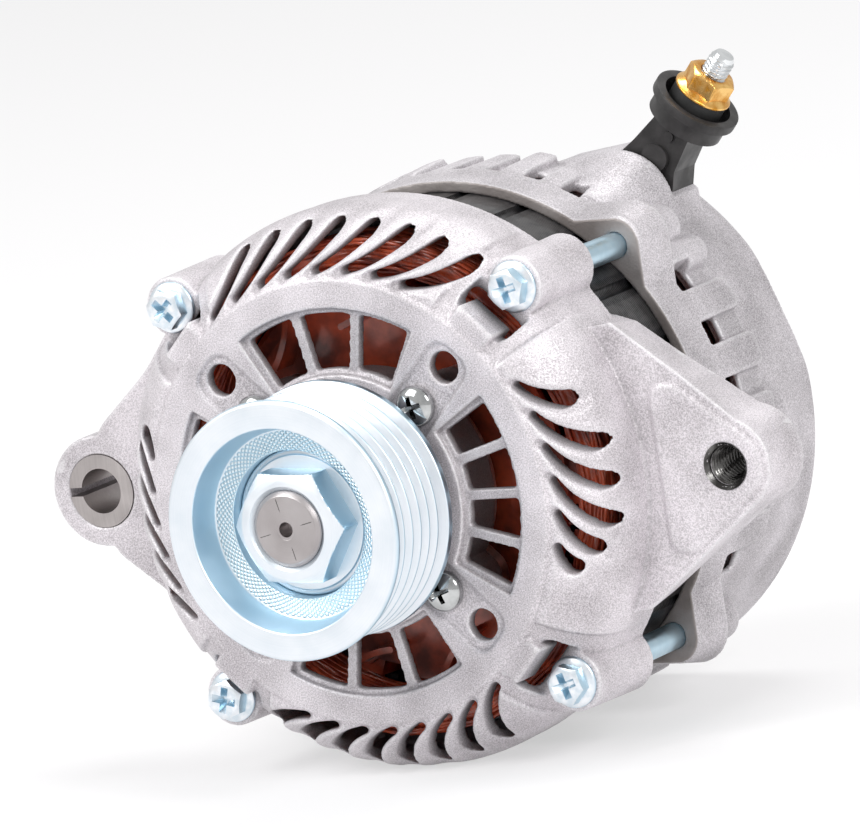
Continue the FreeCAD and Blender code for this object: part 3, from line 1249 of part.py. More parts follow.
def terminal_frame(shape):
    """Lay a shape that was made along +Z above the origin on the terminal's line."""
    copy = shape.copy()
    copy.rotate(Vec(0, 0, 0), Vec(0, 1, 0), 90 - TERMINAL_ANGLE)
    copy.translate(polar(TERMINAL_OFFSET, TERMINAL_ANGLE + 90, TERMINAL_Y))
    return copy


def upright(radius, low, high):
    """A cylinder along +Z between two heights."""
    return Part.makeCylinder(radius, high - low, Vec(0, 0, low))


def terminal_stand():
    """Moulded insulator: a foot in the casting, a spreading stem with two side bosses, and a cup."""
    base = STAND_SEAT_AT + PRESS_CLEARANCE
    top = CUP_BOTTOM_AT + 1
    foot = upright(STAND_FOOT_R, STAND_FOOT_BOTTOM_AT, base + 0.3)
    stem = plate([(STEM_TOP[0], top, 0), (STEM_WAIST[0], STEM_WAIST_AT, 0), (STEM_BASE[0], base, 0),
                  (STEM_BASE[1], base, 0), (STEM_WAIST[1], STEM_WAIST_AT, 0), (STEM_TOP[1], top, 0)],
                 -STEM_FRONT, STEM_BACK)
    cup = upright(CUP_R, CUP_BOTTOM_AT, CUP_TOP_AT)
    rim = upright(CUP_RIM_R, CUP_TOP_AT - CUP_RIM_HEIGHT, CUP_TOP_AT)
    body = [foot, stem, cup, rim]
    for radius, spot, rise in ((STAND_BOSS_R, STAND_BOSS_SPOT, STAND_BOSS_RISE),
                               (STAND_STUD_R, STAND_STUD_SPOT, STAND_STUD_RISE)):
        body.append(Part.makeCylinder(radius, STEM_FRONT + rise, Vec(spot[0], 0, spot[1]), Vec(0, -1, 0)))
    body = joined(body)
    body = body.cut(upright(CUP_BORE_R, CUP_TOP_AT - CUP_DEPTH, CUP_TOP_AT + 1))
    body = body.cut(upright(STUD_R + PRESS_CLEARANCE, 0, 200))
    return terminal_frame(body)


def terminal_bush():
    """Black collar in the cup, which the nut clamps the cable's eye against."""
    collar = upright(INNER_BUSH_R, CUP_TOP_AT - CUP_DEPTH, TERMINAL_NUT_AT)
    return terminal_frame(collar.cut(upright(STUD_R + PRESS_CLEARANCE, 0, 200)))


def terminal_nut():
    """Flanged brass-coloured nut on the stud."""
    top = TERMINAL_NUT_AT + TERMINAL_NUT_HEIGHT
    corner_r = TERMINAL_NUT_FLATS / math.sqrt(3)
    corners = []
    for side in range(6):
        turn = math.radians(60 * side + 12)
        corners.append(Vec(corner_r * math.cos(turn), corner_r * math.sin(turn), TERMINAL_NUT_AT))
    body = Part.Face(Part.makePolygon(corners + corners[:1])).extrude(Vec(0, 0, TERMINAL_NUT_HEIGHT))
    crown = Part.makeCone(corner_r + 3.5, TERMINAL_NUT_FLATS / 2 - 0.2, TERMINAL_NUT_HEIGHT,
                          Vec(0, 0, TERMINAL_NUT_AT))
    flange_cone = Part.makeCone(TERMINAL_FLANGE_R, TERMINAL_NUT_FLATS / 2, TERMINAL_FLANGE_THICKNESS,
                                Vec(0, 0, TERMINAL_NUT_AT + 0.5))
    flange = upright(TERMINAL_FLANGE_R, TERMINAL_NUT_AT, TERMINAL_NUT_AT + 0.5)
    nut = joined([body.common(crown), flange_cone, flange])
    return terminal_frame(nut.cut(upright(STUD_R + PRESS_CLEARANCE, 0, top + 50)))


# Regulator and plug socket

def regulator_frame(shape):
    """Turn a shape that was made round the +X radius to the regulator's angle."""
    return turned(shape, REGULATOR_ANGLE)


def regulator_fixings():
    """The two places on the rear wall that the regulator is screwed to."""
    spots = []
    for side in (-1, 1):
        offset = side * (REGULATOR_WIDTH / 2 - FIXING_HEAD_R)
        spot = Vec(REGULATOR_AT_R + REGULATOR_HEIGHT / 2 - FIXING_HEAD_R - 1.0, 0, offset)
        spots.append(FreeCAD.Rotation(Vec(0, -1, 0), REGULATOR_ANGLE).multVec(spot))
    return spots


def regulator():
    """Flat electronic module with cooling ribs on its front."""
    x0 = REGULATOR_AT_R - REGULATOR_HEIGHT / 2
    x1 = REGULATOR_AT_R + REGULATOR_HEIGHT / 2
    half = REGULATOR_WIDTH / 2
    body = block(x0, x1, REGULATOR_Y, REGULATOR_Y + REGULATOR_DEPTH, -half, half)
    ribs = []
    for index in range(5):
        z = -half + 9.5 + index * 3.6
        ribs.append(block(x0 + 2, x1 - 2, REGULATOR_Y - 2.2, REGULATOR_Y + 0.5, z - 0.7, z + 0.7))
    module = regulator_frame(joined([body] + ribs))
    for spot in regulator_fixings():
        module = module.cut(rod(FIXING_SCREW_R + 0.3, REGULATOR_Y - 5, REGULATOR_Y + REGULATOR_DEPTH + 1,
                                spot.x, spot.z))
    return module


def regulator_screws():
    """Two screws through the regulator into the rear wall's posts."""
    end = REAR_END_Y - 2
    return [fixing_screw(spot, REGULATOR_Y, end) for spot in regulator_fixings()]


def socket_outline(grow, y_start, y_end):
    """The rounded rectangle of the plug socket, grown by an amount."""
    half_u = SOCKET_HEIGHT / 2 + grow
    half_v = SOCKET_LENGTH / 2 + grow
    corner = 4.0 + grow
    at = REGULATOR_AT_R - 2.0
    solid = plate([(at - half_u, -half_v, corner), (at + half_u, -half_v, corner),
                   (at + half_u, half_v, corner), (at - half_u, half_v, corner)], y_start, y_end)
    return regulator_frame(solid)


def socket_opening():
    """The hole in the rear wall that the plug socket passes through."""
    return socket_outline(PRESS_CLEARANCE, REGULATOR_Y + REGULATOR_DEPTH, REAR_END_Y + 2)


def plug_socket():
    """Open plastic shroud round the contact pins, standing on the regulator."""
    start = REGULATOR_Y + REGULATOR_DEPTH
    shell = socket_outline(0, start, SOCKET_END_Y)
    return shell.cut(socket_outline(-SOCKET_WALL, start + 2.5, SOCKET_END_Y + 1))


def socket_pins():
    """The flat contact pins in the socket."""
    start = REGULATOR_Y + REGULATOR_DEPTH + 2.5
    at = REGULATOR_AT_R - 2.0
    pins = []
    for index in range(PIN_COUNT):
        z = (index - (PIN_COUNT - 1) / 2) * PIN_PITCH
        pins.append(regulator_frame(block(at - PIN_SIZE, at + PIN_SIZE, start, start + PIN_LENGTH,
                                          z - PIN_SIZE / 2, z + PIN_SIZE / 2)))
    return pins


# Places that follow from the sizes above

COLLAR_FRONT_Y = FRONT_BEARING_Y - COLLAR_LENGTH
SHOULDER_Y = FRONT_BEARING_Y + FRONT_BEARING_WIDTH
HOUSING_END_Y = FRONT_BEARING_Y + FRONT_BEARING_WIDTH
HOUSING_REAR_Y = REAR_BEARING_Y + REAR_BEARING_WIDTH + REAR_HOUSING_CAP


def pieces():
    """Every node's name with its solids."""
    front_parts = ball_bearing(SHAFT_R + PRESS_CLEARANCE, FRONT_INNER_RACE_R, FRONT_OUTER_RACE_R,
                               FRONT_BEARING_R, FRONT_BALL_R, FRONT_BALL_COUNT,
                               FRONT_BEARING_Y, FRONT_BEARING_WIDTH)
    rear_parts = ball_bearing(SHAFT_REAR_R + PRESS_CLEARANCE, REAR_INNER_RACE_R, REAR_OUTER_RACE_R,
                              REAR_BEARING_R, REAR_BALL_R, REAR_BALL_COUNT,
                              REAR_BEARING_Y, REAR_BEARING_WIDTH)
    front_pole, rear_pole = claw_poles()
    front_centre, rear_centre = brush_centres()
    nodes = {
        "front_bracket": front_bracket(),
        "rear_bracket": rear_bracket(),
        "stator_core": stator_core(),
        "stator_windings": stator_windings(),
        "through_bolts": through_bolts(),
        "pivot_bush": pivot_bush(),
        "bearing_retainer": bearing_retainer(),
        "retainer_screws": retainer_screws(),
        "pulley": pulley(),
        "pulley_nut": pulley_nut(),
        "spacer_collar": spacer_collar(),
        "rotor_shaft": rotor_shaft(),
        "claw_pole_front": front_pole,
        "claw_pole_rear": rear_pole,
        "coil_bobbin": coil_bobbin(),
        "field_coil": field_coil(),
        "fan_front": fan(ROTOR_Y, -1),
        "fan_rear": fan(ROTOR_Y + ROTOR_LENGTH, 1),
        "slip_rings": slip_rings(),
        "slip_ring_hub": slip_ring_hub(),
        "brush_holder": brush_holder(),
        "brush_holder_screws": holder_screws(),
        "brush_front": brush(front_centre),
        "brush_rear": brush(rear_centre),
        "brush_spring_front": brush_spring(front_centre),
        "brush_spring_rear": brush_spring(rear_centre),
        "rectifier_plate_positive": positive_plate(),
        "rectifier_plate_negative": rectifier_plate(NEGATIVE_PLATE_Y, NEGATIVE_PLATE_SPAN,
                                                    FIXING_SCREW_R + 0.3),
        "diodes_positive": diodes(POSITIVE_PLATE_Y, 1),
        "diodes_negative": diodes(NEGATIVE_PLATE_Y, -1),
        "rectifier_spacers": rectifier_spacers(),
        "rectifier_screws": rectifier_screws(),
        "regulator": regulator(),
        "regulator_screws": regulator_screws(),
        "plug_socket": plug_socket(),
        "socket_pins": socket_pins(),
        "terminal_stud": terminal_stud(),
        "terminal_stand": terminal_stand(),
        "terminal_bush": terminal_bush(),
        "terminal_nut": terminal_nut(),
    }
    for end, (inner, outer, balls, cage, shields) in (("front", front_parts), ("rear", rear_parts)):
        nodes[end + "_bearing_inner_ring"] = inner
        nodes[end + "_bearing_outer_ring"] = outer
        nodes[end + "_bearing_balls"] = balls
        nodes[end + "_bearing_cage"] = cage
        nodes[end + "_bearing_shields"] = shields
    return nodes


def main():
    """Write each node to its own STEP file."""
    os.makedirs("parts", exist_ok=True)
    for name, content in pieces().items():
        solids = content if isinstance(content, list) else [content]
        shape = Part.makeCompound([solid for item in solids for solid in item.Solids])
        shape.exportStep("parts/" + name + ".step")
        print(name, len(shape.Solids), "solids", round(shape.Volume), "mm3", shape.isValid())


main()
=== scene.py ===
"""Dresses a packed car alternator: blasted castings, zinc-plated turned parts, windings and terminal.

The shaft lies along Y, the pulley faces -Y and +Z is up. Sizes here are in millimetres and become metres
when a mesh is made. Pieces that stand on an axis are drawn along their own +Z and placed by a matrix.
Places round the shaft are in degrees from +X towards +Z.
"""
from __future__ import annotations

import json
import logging
import math
import random
from dataclasses import dataclass
from enum import Enum
from typing import Iterable, Sequence

import bmesh
import bpy
from mathutils import Matrix, Vector

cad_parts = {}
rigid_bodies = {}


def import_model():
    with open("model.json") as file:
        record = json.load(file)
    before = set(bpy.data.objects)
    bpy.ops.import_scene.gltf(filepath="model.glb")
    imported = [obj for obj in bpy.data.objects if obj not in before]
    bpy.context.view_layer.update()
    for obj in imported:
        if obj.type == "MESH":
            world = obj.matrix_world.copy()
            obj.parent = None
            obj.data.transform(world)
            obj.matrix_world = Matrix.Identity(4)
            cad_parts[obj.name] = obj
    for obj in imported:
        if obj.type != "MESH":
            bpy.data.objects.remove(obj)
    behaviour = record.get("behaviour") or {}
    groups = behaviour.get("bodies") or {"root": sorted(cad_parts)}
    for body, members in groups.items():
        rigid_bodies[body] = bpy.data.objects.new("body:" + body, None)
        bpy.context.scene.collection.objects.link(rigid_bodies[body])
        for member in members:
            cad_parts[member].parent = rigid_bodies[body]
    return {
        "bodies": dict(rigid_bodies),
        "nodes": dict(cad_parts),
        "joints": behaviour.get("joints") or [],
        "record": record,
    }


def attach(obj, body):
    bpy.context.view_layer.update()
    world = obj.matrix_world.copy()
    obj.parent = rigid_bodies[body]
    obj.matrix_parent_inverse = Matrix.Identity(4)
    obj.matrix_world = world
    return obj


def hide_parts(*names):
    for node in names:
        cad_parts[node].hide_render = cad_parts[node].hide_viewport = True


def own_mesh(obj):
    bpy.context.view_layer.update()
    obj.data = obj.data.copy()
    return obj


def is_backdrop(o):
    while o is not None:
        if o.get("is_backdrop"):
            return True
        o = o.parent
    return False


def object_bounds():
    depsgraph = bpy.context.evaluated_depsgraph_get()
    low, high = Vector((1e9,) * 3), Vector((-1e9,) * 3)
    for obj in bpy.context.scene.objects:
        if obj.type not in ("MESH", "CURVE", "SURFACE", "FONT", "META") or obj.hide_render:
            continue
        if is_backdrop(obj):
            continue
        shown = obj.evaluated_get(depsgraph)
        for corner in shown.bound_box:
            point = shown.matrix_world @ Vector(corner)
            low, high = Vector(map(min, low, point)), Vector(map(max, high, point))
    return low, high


LOG = logging.getLogger("alternator")
MM = 0.001
FULL_TURN = 2 * math.pi
SHAFTWARD = Matrix.Rotation(math.radians(90), 4, "X")
QUARTERS = (45, 135, 225, 315)
# The longest rounding of a corner, as a share of the side that it takes from.
SIDE_SHARE = 0.45
# The arc of the front bracket's shoulder: its centre from the axis and along the shaft, and its radius.
LOUVRE_DOME = (40.18, 37.26, 23.28)
# A hexagon head's corners are turned off at this angle, in this many steps.
CROWN_TILT = math.radians(30)
CROWN_STEPS = 8
# How far a mask takes to fade at its rim, in metres, and how strongly fine skins bend the light.
FEATHER = 0.3 * MM
BUMP_STRENGTH = 0.6

Point = tuple[float, float]
Colour = tuple[float, float, float]
Form = bmesh.types.BMesh
Ring = list[bmesh.types.BMVert]
Socket = bpy.types.NodeSocket
Node = bpy.types.Node
Material = bpy.types.Material
Looks = dict[str, Material]
Nodes = dict[str, bpy.types.Object]


class Body(Enum):
    """The moving bodies that pieces ride on."""

    HOUSING = "stator_housing"
    ROTOR = "rotor"


# Meshes


def turns(count: int) -> list[float]:
    """Evenly spaced directions round a circle, in radians."""
    return [FULL_TURN * step / count for step in range(count)]


def polar(radius: float, turn: float) -> Point:
    """The point at a radius in a direction in radians."""
    return radius * math.cos(turn), radius * math.sin(turn)


def level_ring(made: Form, radii: Sequence[float], height: float) -> Ring:
    """Points round +Z at a height, with a radius for each of their evenly spaced directions."""
    return [made.verts.new((*polar(radius, turn), height)) for radius, turn in zip(radii, turns(len(radii)))]


def skinned(made: Form, rings: Sequence[Ring], looped: bool = False, ends: bool = False) -> Form:
    """Join rings of points, each to the next.

    Args:
        made: The mesh that holds the points.
        rings: The rings in order. One of a single point makes a tip.
        looped: True if the last ring joins the first.
        ends: True if the first and the last ring are filled.

    Returns:
        The same mesh.
    """
    pairs = list(zip(rings, rings[1:]))
    if looped:
        pairs.append((rings[-1], rings[0]))
    for low, high in pairs:
        count = max(len(low), len(high))
        for step in range(count):
            following = (step + 1) % count
            corners = [low[step % len(low)], low[following % len(low)],
                       high[following % len(high)], high[step % len(high)]]
            unique = list(dict.fromkeys(corners))
            if len(unique) > 2:
                made.faces.new(unique)
    if ends:
        made.faces.new(rings[0])
        made.faces.new(list(reversed(rings[-1])))
    return made


def soften(outline: Sequence[Point], radius: float, steps: int = 3) -> list[Point]:
    """Round the inner corners of an open outline.

    Args:
        outline: The corners in order.
        radius: How far from each corner the rounding starts.
        steps: Points per corner, less one.

    Returns:
        The outline with a short curve in place of each corner.
    """
    made = [outline[0]]
    for before, here, after in zip(outline, outline[1:], outline[2:]):
        corner = Vector(here)
        back = Vector(before) - corner
        ahead = Vector(after) - corner
        reach = min(radius, back.length * SIDE_SHARE, ahead.length * SIDE_SHARE)
        start = corner + back.normalized() * reach
        end = corner + ahead.normalized() * reach
        for step in range(steps + 1):
            share = step / steps
            spot = start * (1 - share) ** 2 + corner * 2 * share * (1 - share) + end * share**2
            made.append((spot.x, spot.y))
    made.append(outline[-1])
    return made


def turned(outline: Sequence[Point], segments: int = 160, closed: bool = False) -> Form:
    """Sweep (radius, height) points round +Z.

    Args:
        outline: The points in order. One on the axis makes a tip.
        segments: Steps round the axis.
        closed: True if the last point joins the first.

    Returns:
        The swept surface.
    """
    made = bmesh.new()
    rings = []
    for radius, height in outline:
        if radius < 1e-6:
            rings.append([made.verts.new((0, 0, height))])
        else:
            rings.append(level_ring(made, [radius] * segments, height))
    return skinned(made, rings, closed)


def hexagon_radius(flats: float, angle: float) -> float:
    """The distance from a hexagon's centre to its edge in a direction."""
    within = (angle % (math.pi / 3)) - math.pi / 6
    return flats / 2 / math.cos(within)


def hexagon_head(flats: float, low: float, high: float, crown: float, count: int = 240) -> Form:
    """A hexagon whose top corners are turned off to a cone.

    Args:
        flats: Width across flats.
        low: Height of its base.
        high: Height of its top.
        crown: Radius of the flat on its top.
        count: Steps round the axis.

    Returns:
        The closed solid.
    """
    slope = math.tan(CROWN_TILT)
    drop = (flats / math.sqrt(3) - crown) * slope
    made = bmesh.new()
    rings = []
    for height in [low] + [high - drop + drop * step / CROWN_STEPS for step in range(CROWN_STEPS + 1)]:
        limit = crown + (high - height) / slope
        radii = [min(hexagon_radius(flats, turn), limit) for turn in turns(count)]
        rings.append(level_ring(made, radii, height))
    skinned(made, rings)
    made.faces.new(list(reversed(rings[0])))
    made.faces.new(rings[-1])
    return made


def threaded(root: float, crest: float, pitch: float, low: float, high: float,
             segments: int = 48, per_turn: int = 10) -> Form:
    """An open tube whose radius winds up and down as a screw thread.

    Args:
        root: Radius at the bottom of the thread.
        crest: Radius at its top.
        pitch: Height of one turn.
        low: Height where it starts.
        high: Height where it ends.
        segments: Steps round the axis.
        per_turn: Steps along one turn's height.

    Returns:
        The threaded surface, without ends.
    """
    made = bmesh.new()
    rows = int((high - low) / pitch * per_turn)
    rings = []
    for row in range(rows + 1):
        height = low + (high - low) * row / rows
        fade = min(1.0, row / per_turn, (rows - row) / per_turn)
        radii = []
        for step in range(segments):
            # The ridge is whole within a twelfth of a turn of its middle and gone after five twelfths.
            phase = (height / pitch - step / segments) % 1.0
            lift = min(1.0, max(0.0, 1.25 - abs(phase - 0.5) * 3.0))
            radii.append(root + (crest - root) * lift * fade)
        rings.append(level_ring(made, radii, height))
    return skinned(made, rings)


def cross_recess(length: float, width: float, depth: float, top: float) -> Form:
    """The tapered cross that a screwdriver fits.

    Args:
        length: From the end of one arm to the end of the opposite one.
        width: The width of an arm.
        depth: How far it reaches down.
        top: The height of the head's top.

    Returns:
        The closed cutter.
    """
    half = width / 2
    corners = [(half, half), (half, length / 2), (-half, length / 2)]
    for index in range(9):
        # Each further arm is the one before, turned by a quarter.
        x, y = corners[index]
        corners.append((-y, x))
    made = bmesh.new()
    levels = []
    # It flares above the head and narrows towards its foot.
    for scale, height in ((1.12, top + 1.0), (1.0, top), (0.42, top - depth)):
        levels.append([made.verts.new((x * scale, y * scale, height)) for x, y in corners])
    return skinned(made, levels, ends=True)


def sector(inner: float, outer: float, start: float, end: float, low: float, high: float) -> Form:
    """A closed piece of a ring round the shaft.

    Args:
        inner: Its inner radius.
        outer: Its outer radius.
        start: Where it starts, in degrees.
        end: Where it ends.
        low: Its front, along the shaft.
        high: Its back.

    Returns:
        The closed solid.
    """
    made = bmesh.new()
    steps = 6
    rings = []
    for step in range(steps + 1):
        turn = math.radians(start + (end - start) * step / steps)
        ring = []
        for radius, y in ((inner, low), (outer, low), (outer, high), (inner, high)):
            x, z = polar(radius, turn)
            ring.append(made.verts.new((x, y, z)))
        rings.append(ring)
    return skinned(made, rings, ends=True)


def merged(solids: Iterable[Form]) -> Form:
    """Put several meshes into one.

    Args:
        solids: The meshes, which are freed.

    Returns:
        The mesh that holds them all.
    """
    whole = bmesh.new()
    for solid in solids:
        loose = bpy.data.meshes.new("loose")
        solid.to_mesh(loose)
        solid.free()
        whole.from_mesh(loose)
        bpy.data.meshes.remove(loose)
    return whole


def placed(solid: Form, matrix: Matrix) -> Form:
    """The same mesh, moved by a matrix in millimetres."""
    bmesh.ops.transform(solid, matrix=matrix, verts=solid.verts)
    return solid


def linked(name: str, data: bpy.types.ID) -> bpy.types.Object:
    """A new object that holds some data and stands in the scene.

    Args:
        name: The object's name.
        data: Its mesh, lamp or camera.

    Returns:
        The object.
    """
    thing = bpy.data.objects.new(name, data)
    bpy.context.scene.collection.objects.link(thing)
    return thing


def carved(solid: Form, cutter: Form) -> Form:
    """Cut one closed mesh out of another.

    Args:
        solid: The mesh to cut, which is freed.
        cutter: The mesh to take away, which is freed.

    Returns:
        What is left.
    """
    holders = []
    for form in (solid, cutter):
        bmesh.ops.recalc_face_normals(form, faces=form.faces)
        bmesh.ops.triangulate(form, faces=form.faces)
        mesh = bpy.data.meshes.new("carving")
        form.to_mesh(mesh)
        form.free()
        holders.append(linked("carving", mesh))
    base, tool = holders
    step = base.modifiers.new("recess", "BOOLEAN")
    step.operation = "DIFFERENCE"
    step.solver = "MANIFOLD"
    step.object = tool
    graph = bpy.context.evaluated_depsgraph_get()
    left = bmesh.new()
    left.from_mesh(base.evaluated_get(graph).to_mesh())
    for holder in holders:
        bpy.data.objects.remove(holder)
    return left


def show(name: str, solid: Form, finish: Material, body: Body,
         replaces: Sequence[str] = (), crease: float = 32.0) -> bpy.types.Object:
    """Turn a mesh in millimetres into a piece that rides on a body.

    Args:
        name: The piece's name.
        solid: Its mesh, which is freed.
        finish: Its material.
        body: The body that it moves with.
        replaces: The nodes that it stands for.
        crease: Edges sharper than this many degrees stay sharp.

    Returns:
        The new object.
    """
    bmesh.ops.remove_doubles(solid, verts=solid.verts, dist=1e-5)
    bmesh.ops.recalc_face_normals(solid, faces=solid.faces)
    bmesh.ops.scale(solid, vec=(MM, MM, MM), verts=solid.verts)
    mesh = bpy.data.meshes.new(name)
    solid.to_mesh(mesh)
    solid.free()
    mesh.shade_smooth()
    mesh.set_sharp_from_angle(angle=math.radians(crease))
    mesh.materials.append(finish)
    piece = linked(name, mesh)
    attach(piece, body.value)
    if replaces:
        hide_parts(*replaces)
    LOG.info("%s: %d faces", name, len(mesh.polygons))
    return piece


# Materials


class Tree:
    """A short hand for placing and joining nodes in one node tree."""

    def __init__(self, tree: bpy.types.NodeTree) -> None:
        """Keep the tree that nodes go in."""
        self.tree = tree

    def join(self, source: Socket, target: Socket) -> None:
        """Lead one node's output to another's input."""
        self.tree.links.new(source, target)

    def add(self, kind: str, feeds: dict | None = None, **settings: object) -> Node:
        """Place a node.

        Args:
            kind: Its Blender type.
            feeds: Input name or number to a value or another node's socket.
            settings: The node's own properties.

        Returns:
            The node.
        """
        node = self.tree.nodes.new(kind)
        for key, value in settings.items():
            setattr(node, key, value)
        for key, value in (feeds or {}).items():
            if isinstance(value, Socket):
                self.join(value, node.inputs[key])
            else:
                node.inputs[key].default_value = value
        return node

    def calc(self, operation: str, *values: object) -> Socket:
        """The result of a Math node on values or sockets."""
        return self.add("ShaderNodeMath", dict(enumerate(values)), operation=operation).outputs[0]

    def times(self, first: object, second: object) -> Socket:
        """Two numbers multiplied."""
        return self.calc("MULTIPLY", first, second)

    def plus(self, first: object, second: object) -> Socket:
        """Two numbers added."""
        return self.calc("ADD", first, second)

    def less(self, first: object, second: object) -> Socket:
        """The first number less the second."""
        return self.calc("SUBTRACT", first, second)

    def length(self, across: object, along: object) -> Socket:
        """The length of a line with two sides at a right angle."""
        return self.calc("SQRT", self.plus(self.times(across, across), self.times(along, along)))

    def spread(self, value: object, low: float, high: float, out_low: float = 0.0,
               out_high: float = 1.0) -> Socket:
        """A value stretched from one range to another and held inside it."""
        feeds = {0: value, 1: low, 2: high, 3: out_low, 4: out_high}
        return self.add("ShaderNodeMapRange", feeds, clamp=True).outputs[0]

    def mix(self, share: object, first: object, second: object) -> Socket:
        """Mix two colours.

        Args:
            share: How much of the second, as a number or a socket.
            first: A colour or a socket.
            second: A colour or a socket.

        Returns:
            The mixed colour.
        """
        feeds = {0: share}
        for key, colour in ((6, first), (7, second)):
            feeds[key] = colour if isinstance(colour, Socket) else (*colour, 1.0)
        return self.add("ShaderNodeMix", feeds, data_type="RGBA").outputs[2]

    def coordinate(self, kind: str) -> Sequence[Socket]:
        """The x, y and z of a point's place (Object, in metres) or of its Normal."""
        return self.add("ShaderNodeSeparateXYZ", {0: self.add("ShaderNodeTexCoord").outputs[kind]}).outputs

    def painted_facing_shade(self, colour: Socket, sides: Colour | None) -> Socket:
        """Turn a colour to another where the surface faces away from the shaft's direction, as painted shade.

        Args:
            colour: The colour of what faces along the shaft.
            sides: The painted shade of what faces away, or None to leave all as it is.

        Returns:
            The colour everywhere.
        """
        if sides is None:
            return colour
        ahead = self.calc("ABSOLUTE", self.coordinate("Normal")[1])
        return self.mix(self.spread(ahead, 0.15, 0.85, 0.85, 0.0), colour, sides)

    def noise(self, size: float, detail: float = 3.0, roughness: float = 0.5) -> Socket:
        """Noise whose grains are about a size in millimetres.

        Args:
            size: The size of a grain.
            detail: How many finer layers it has.
            roughness: How strong the finer layers are.

        Returns:
            The noise, from 0 to 1.
        """
        place = self.add("ShaderNodeTexCoord").outputs["Object"]
        feeds = {"Vector": place, "Scale": 1 / (size * MM), "Detail": detail, "Roughness": roughness}
        return self.add("ShaderNodeTexNoise", feeds).outputs["Fac"]


class Effect(Enum):
    """The surface effects that several finishes share."""

    GRAIN = "blasted_grain"
    EDGES = "rubbed_edges"
    RINGS = "turned_rings"


class Effects:
    """Builds each shared effect once as a node group."""

    made: dict[Effect, bpy.types.NodeTree] = {}

    @classmethod
    def use(cls, tree: Tree, effect: Effect, **values: float) -> Node:
        """Place an effect in a material.

        Args:
            tree: The material's tree.
            effect: The effect, which is built at its first use.
            values: Its inputs by name.

        Returns:
            The group's node.
        """
        if effect not in cls.made:
            cls.made[effect] = getattr(cls, effect.value)()
        return tree.add("ShaderNodeGroup", values, node_tree=cls.made[effect])

    @staticmethod
    def _group(effect: Effect, inputs: dict[str, float], outputs: Sequence[str]) -> tuple[Tree, dict, Node]:
        """Start a group.

        Args:
            effect: The effect that it is for.
            inputs: Its inputs with their plain values.
            outputs: The names of its outputs.

        Returns:
            The group's tree, its inputs by name, and its output node.
        """
        group = bpy.data.node_groups.new(effect.value, "ShaderNodeTree")
        for key, value in inputs.items():
            socket = group.interface.new_socket(name=key, in_out="INPUT", socket_type="NodeSocketFloat")
            socket.default_value = value
        for key in outputs:
            group.interface.new_socket(name=key, in_out="OUTPUT", socket_type="NodeSocketFloat")
        tree = Tree(group)
        entry = tree.add("NodeGroupInput")
        return tree, {key: entry.outputs[key] for key in inputs}, tree.add("NodeGroupOutput")

    @classmethod
    def blasted_grain(cls) -> bpy.types.NodeTree:
        """Shot-blasted skin.

        Returns:
            The group, with Height for a bump and Fleck for its bright and dark grains.
        """
        tree, feeds, out = cls._group(Effect.GRAIN, {"Size": 0.4}, ("Height", "Fleck"))
        place = tree.add("ShaderNodeTexCoord").outputs["Object"]
        scale = tree.calc("DIVIDE", 1 / MM, feeds["Size"])
        grains = tree.add("ShaderNodeTexNoise", {"Vector": place, "Scale": scale, "Detail": 2.0,
                                                 "Roughness": 0.6})
        pits = tree.add("ShaderNodeTexVoronoi", {"Vector": place, "Scale": tree.times(scale, 0.6)})
        dents = tree.times(pits.outputs["Distance"], 0.5)
        tree.join(tree.plus(grains.outputs["Fac"], dents), out.inputs["Height"])
        fine = tree.add("ShaderNodeTexNoise", {"Vector": place, "Scale": tree.times(scale, 1.35),
                                               "Detail": 1.0})
        tree.join(tree.spread(fine.outputs["Fac"], 0.33, 0.67), out.inputs["Fleck"])
        return tree.tree

    @classmethod
    def rubbed_edges(cls) -> bpy.types.NodeTree:
        """Where a finely meshed piece bends.

        Returns:
            The group, with masks of the outer edges (Edge), for wear, and of the inner corners (Hollow), for
            painted shade.
        """
        tree, feeds, out = cls._group(Effect.EDGES, {"Spread": 0.04}, ("Edge", "Hollow"))
        bend = tree.add("ShaderNodeNewGeometry").outputs["Pointiness"]
        above = tree.calc("DIVIDE", tree.less(bend, 0.5), feeds["Spread"])
        tree.join(tree.spread(above, 0.1, 1.0), out.inputs["Edge"])
        tree.join(tree.spread(tree.times(above, -1.0), 0.1, 1.0), out.inputs["Hollow"])
        return tree.tree

    @classmethod
    def turned_rings(cls) -> bpy.types.NodeTree:
        """Fine tool marks round the shaft's axis.

        Returns:
            The group, with Height for a bump and Tone for their sheen.
        """
        tree, feeds, out = cls._group(Effect.RINGS, {"Pitch": 0.12}, ("Height", "Tone"))
        x, y, z = tree.coordinate("Object")
        scale = tree.calc("DIVIDE", 1 / MM, feeds["Pitch"])
        marks = {0: tree.times(tree.length(x, z), scale), 1: tree.times(y, scale)}
        place = tree.add("ShaderNodeCombineXYZ", marks).outputs[0]
        lines = tree.add("ShaderNodeTexNoise", {"Vector": place, "Scale": 1.0, "Detail": 2.0})
        tree.join(lines.outputs["Fac"], out.inputs["Height"])
        tree.join(tree.spread(tree.noise(9.0), 0.3, 0.7), out.inputs["Tone"])
        return tree.tree


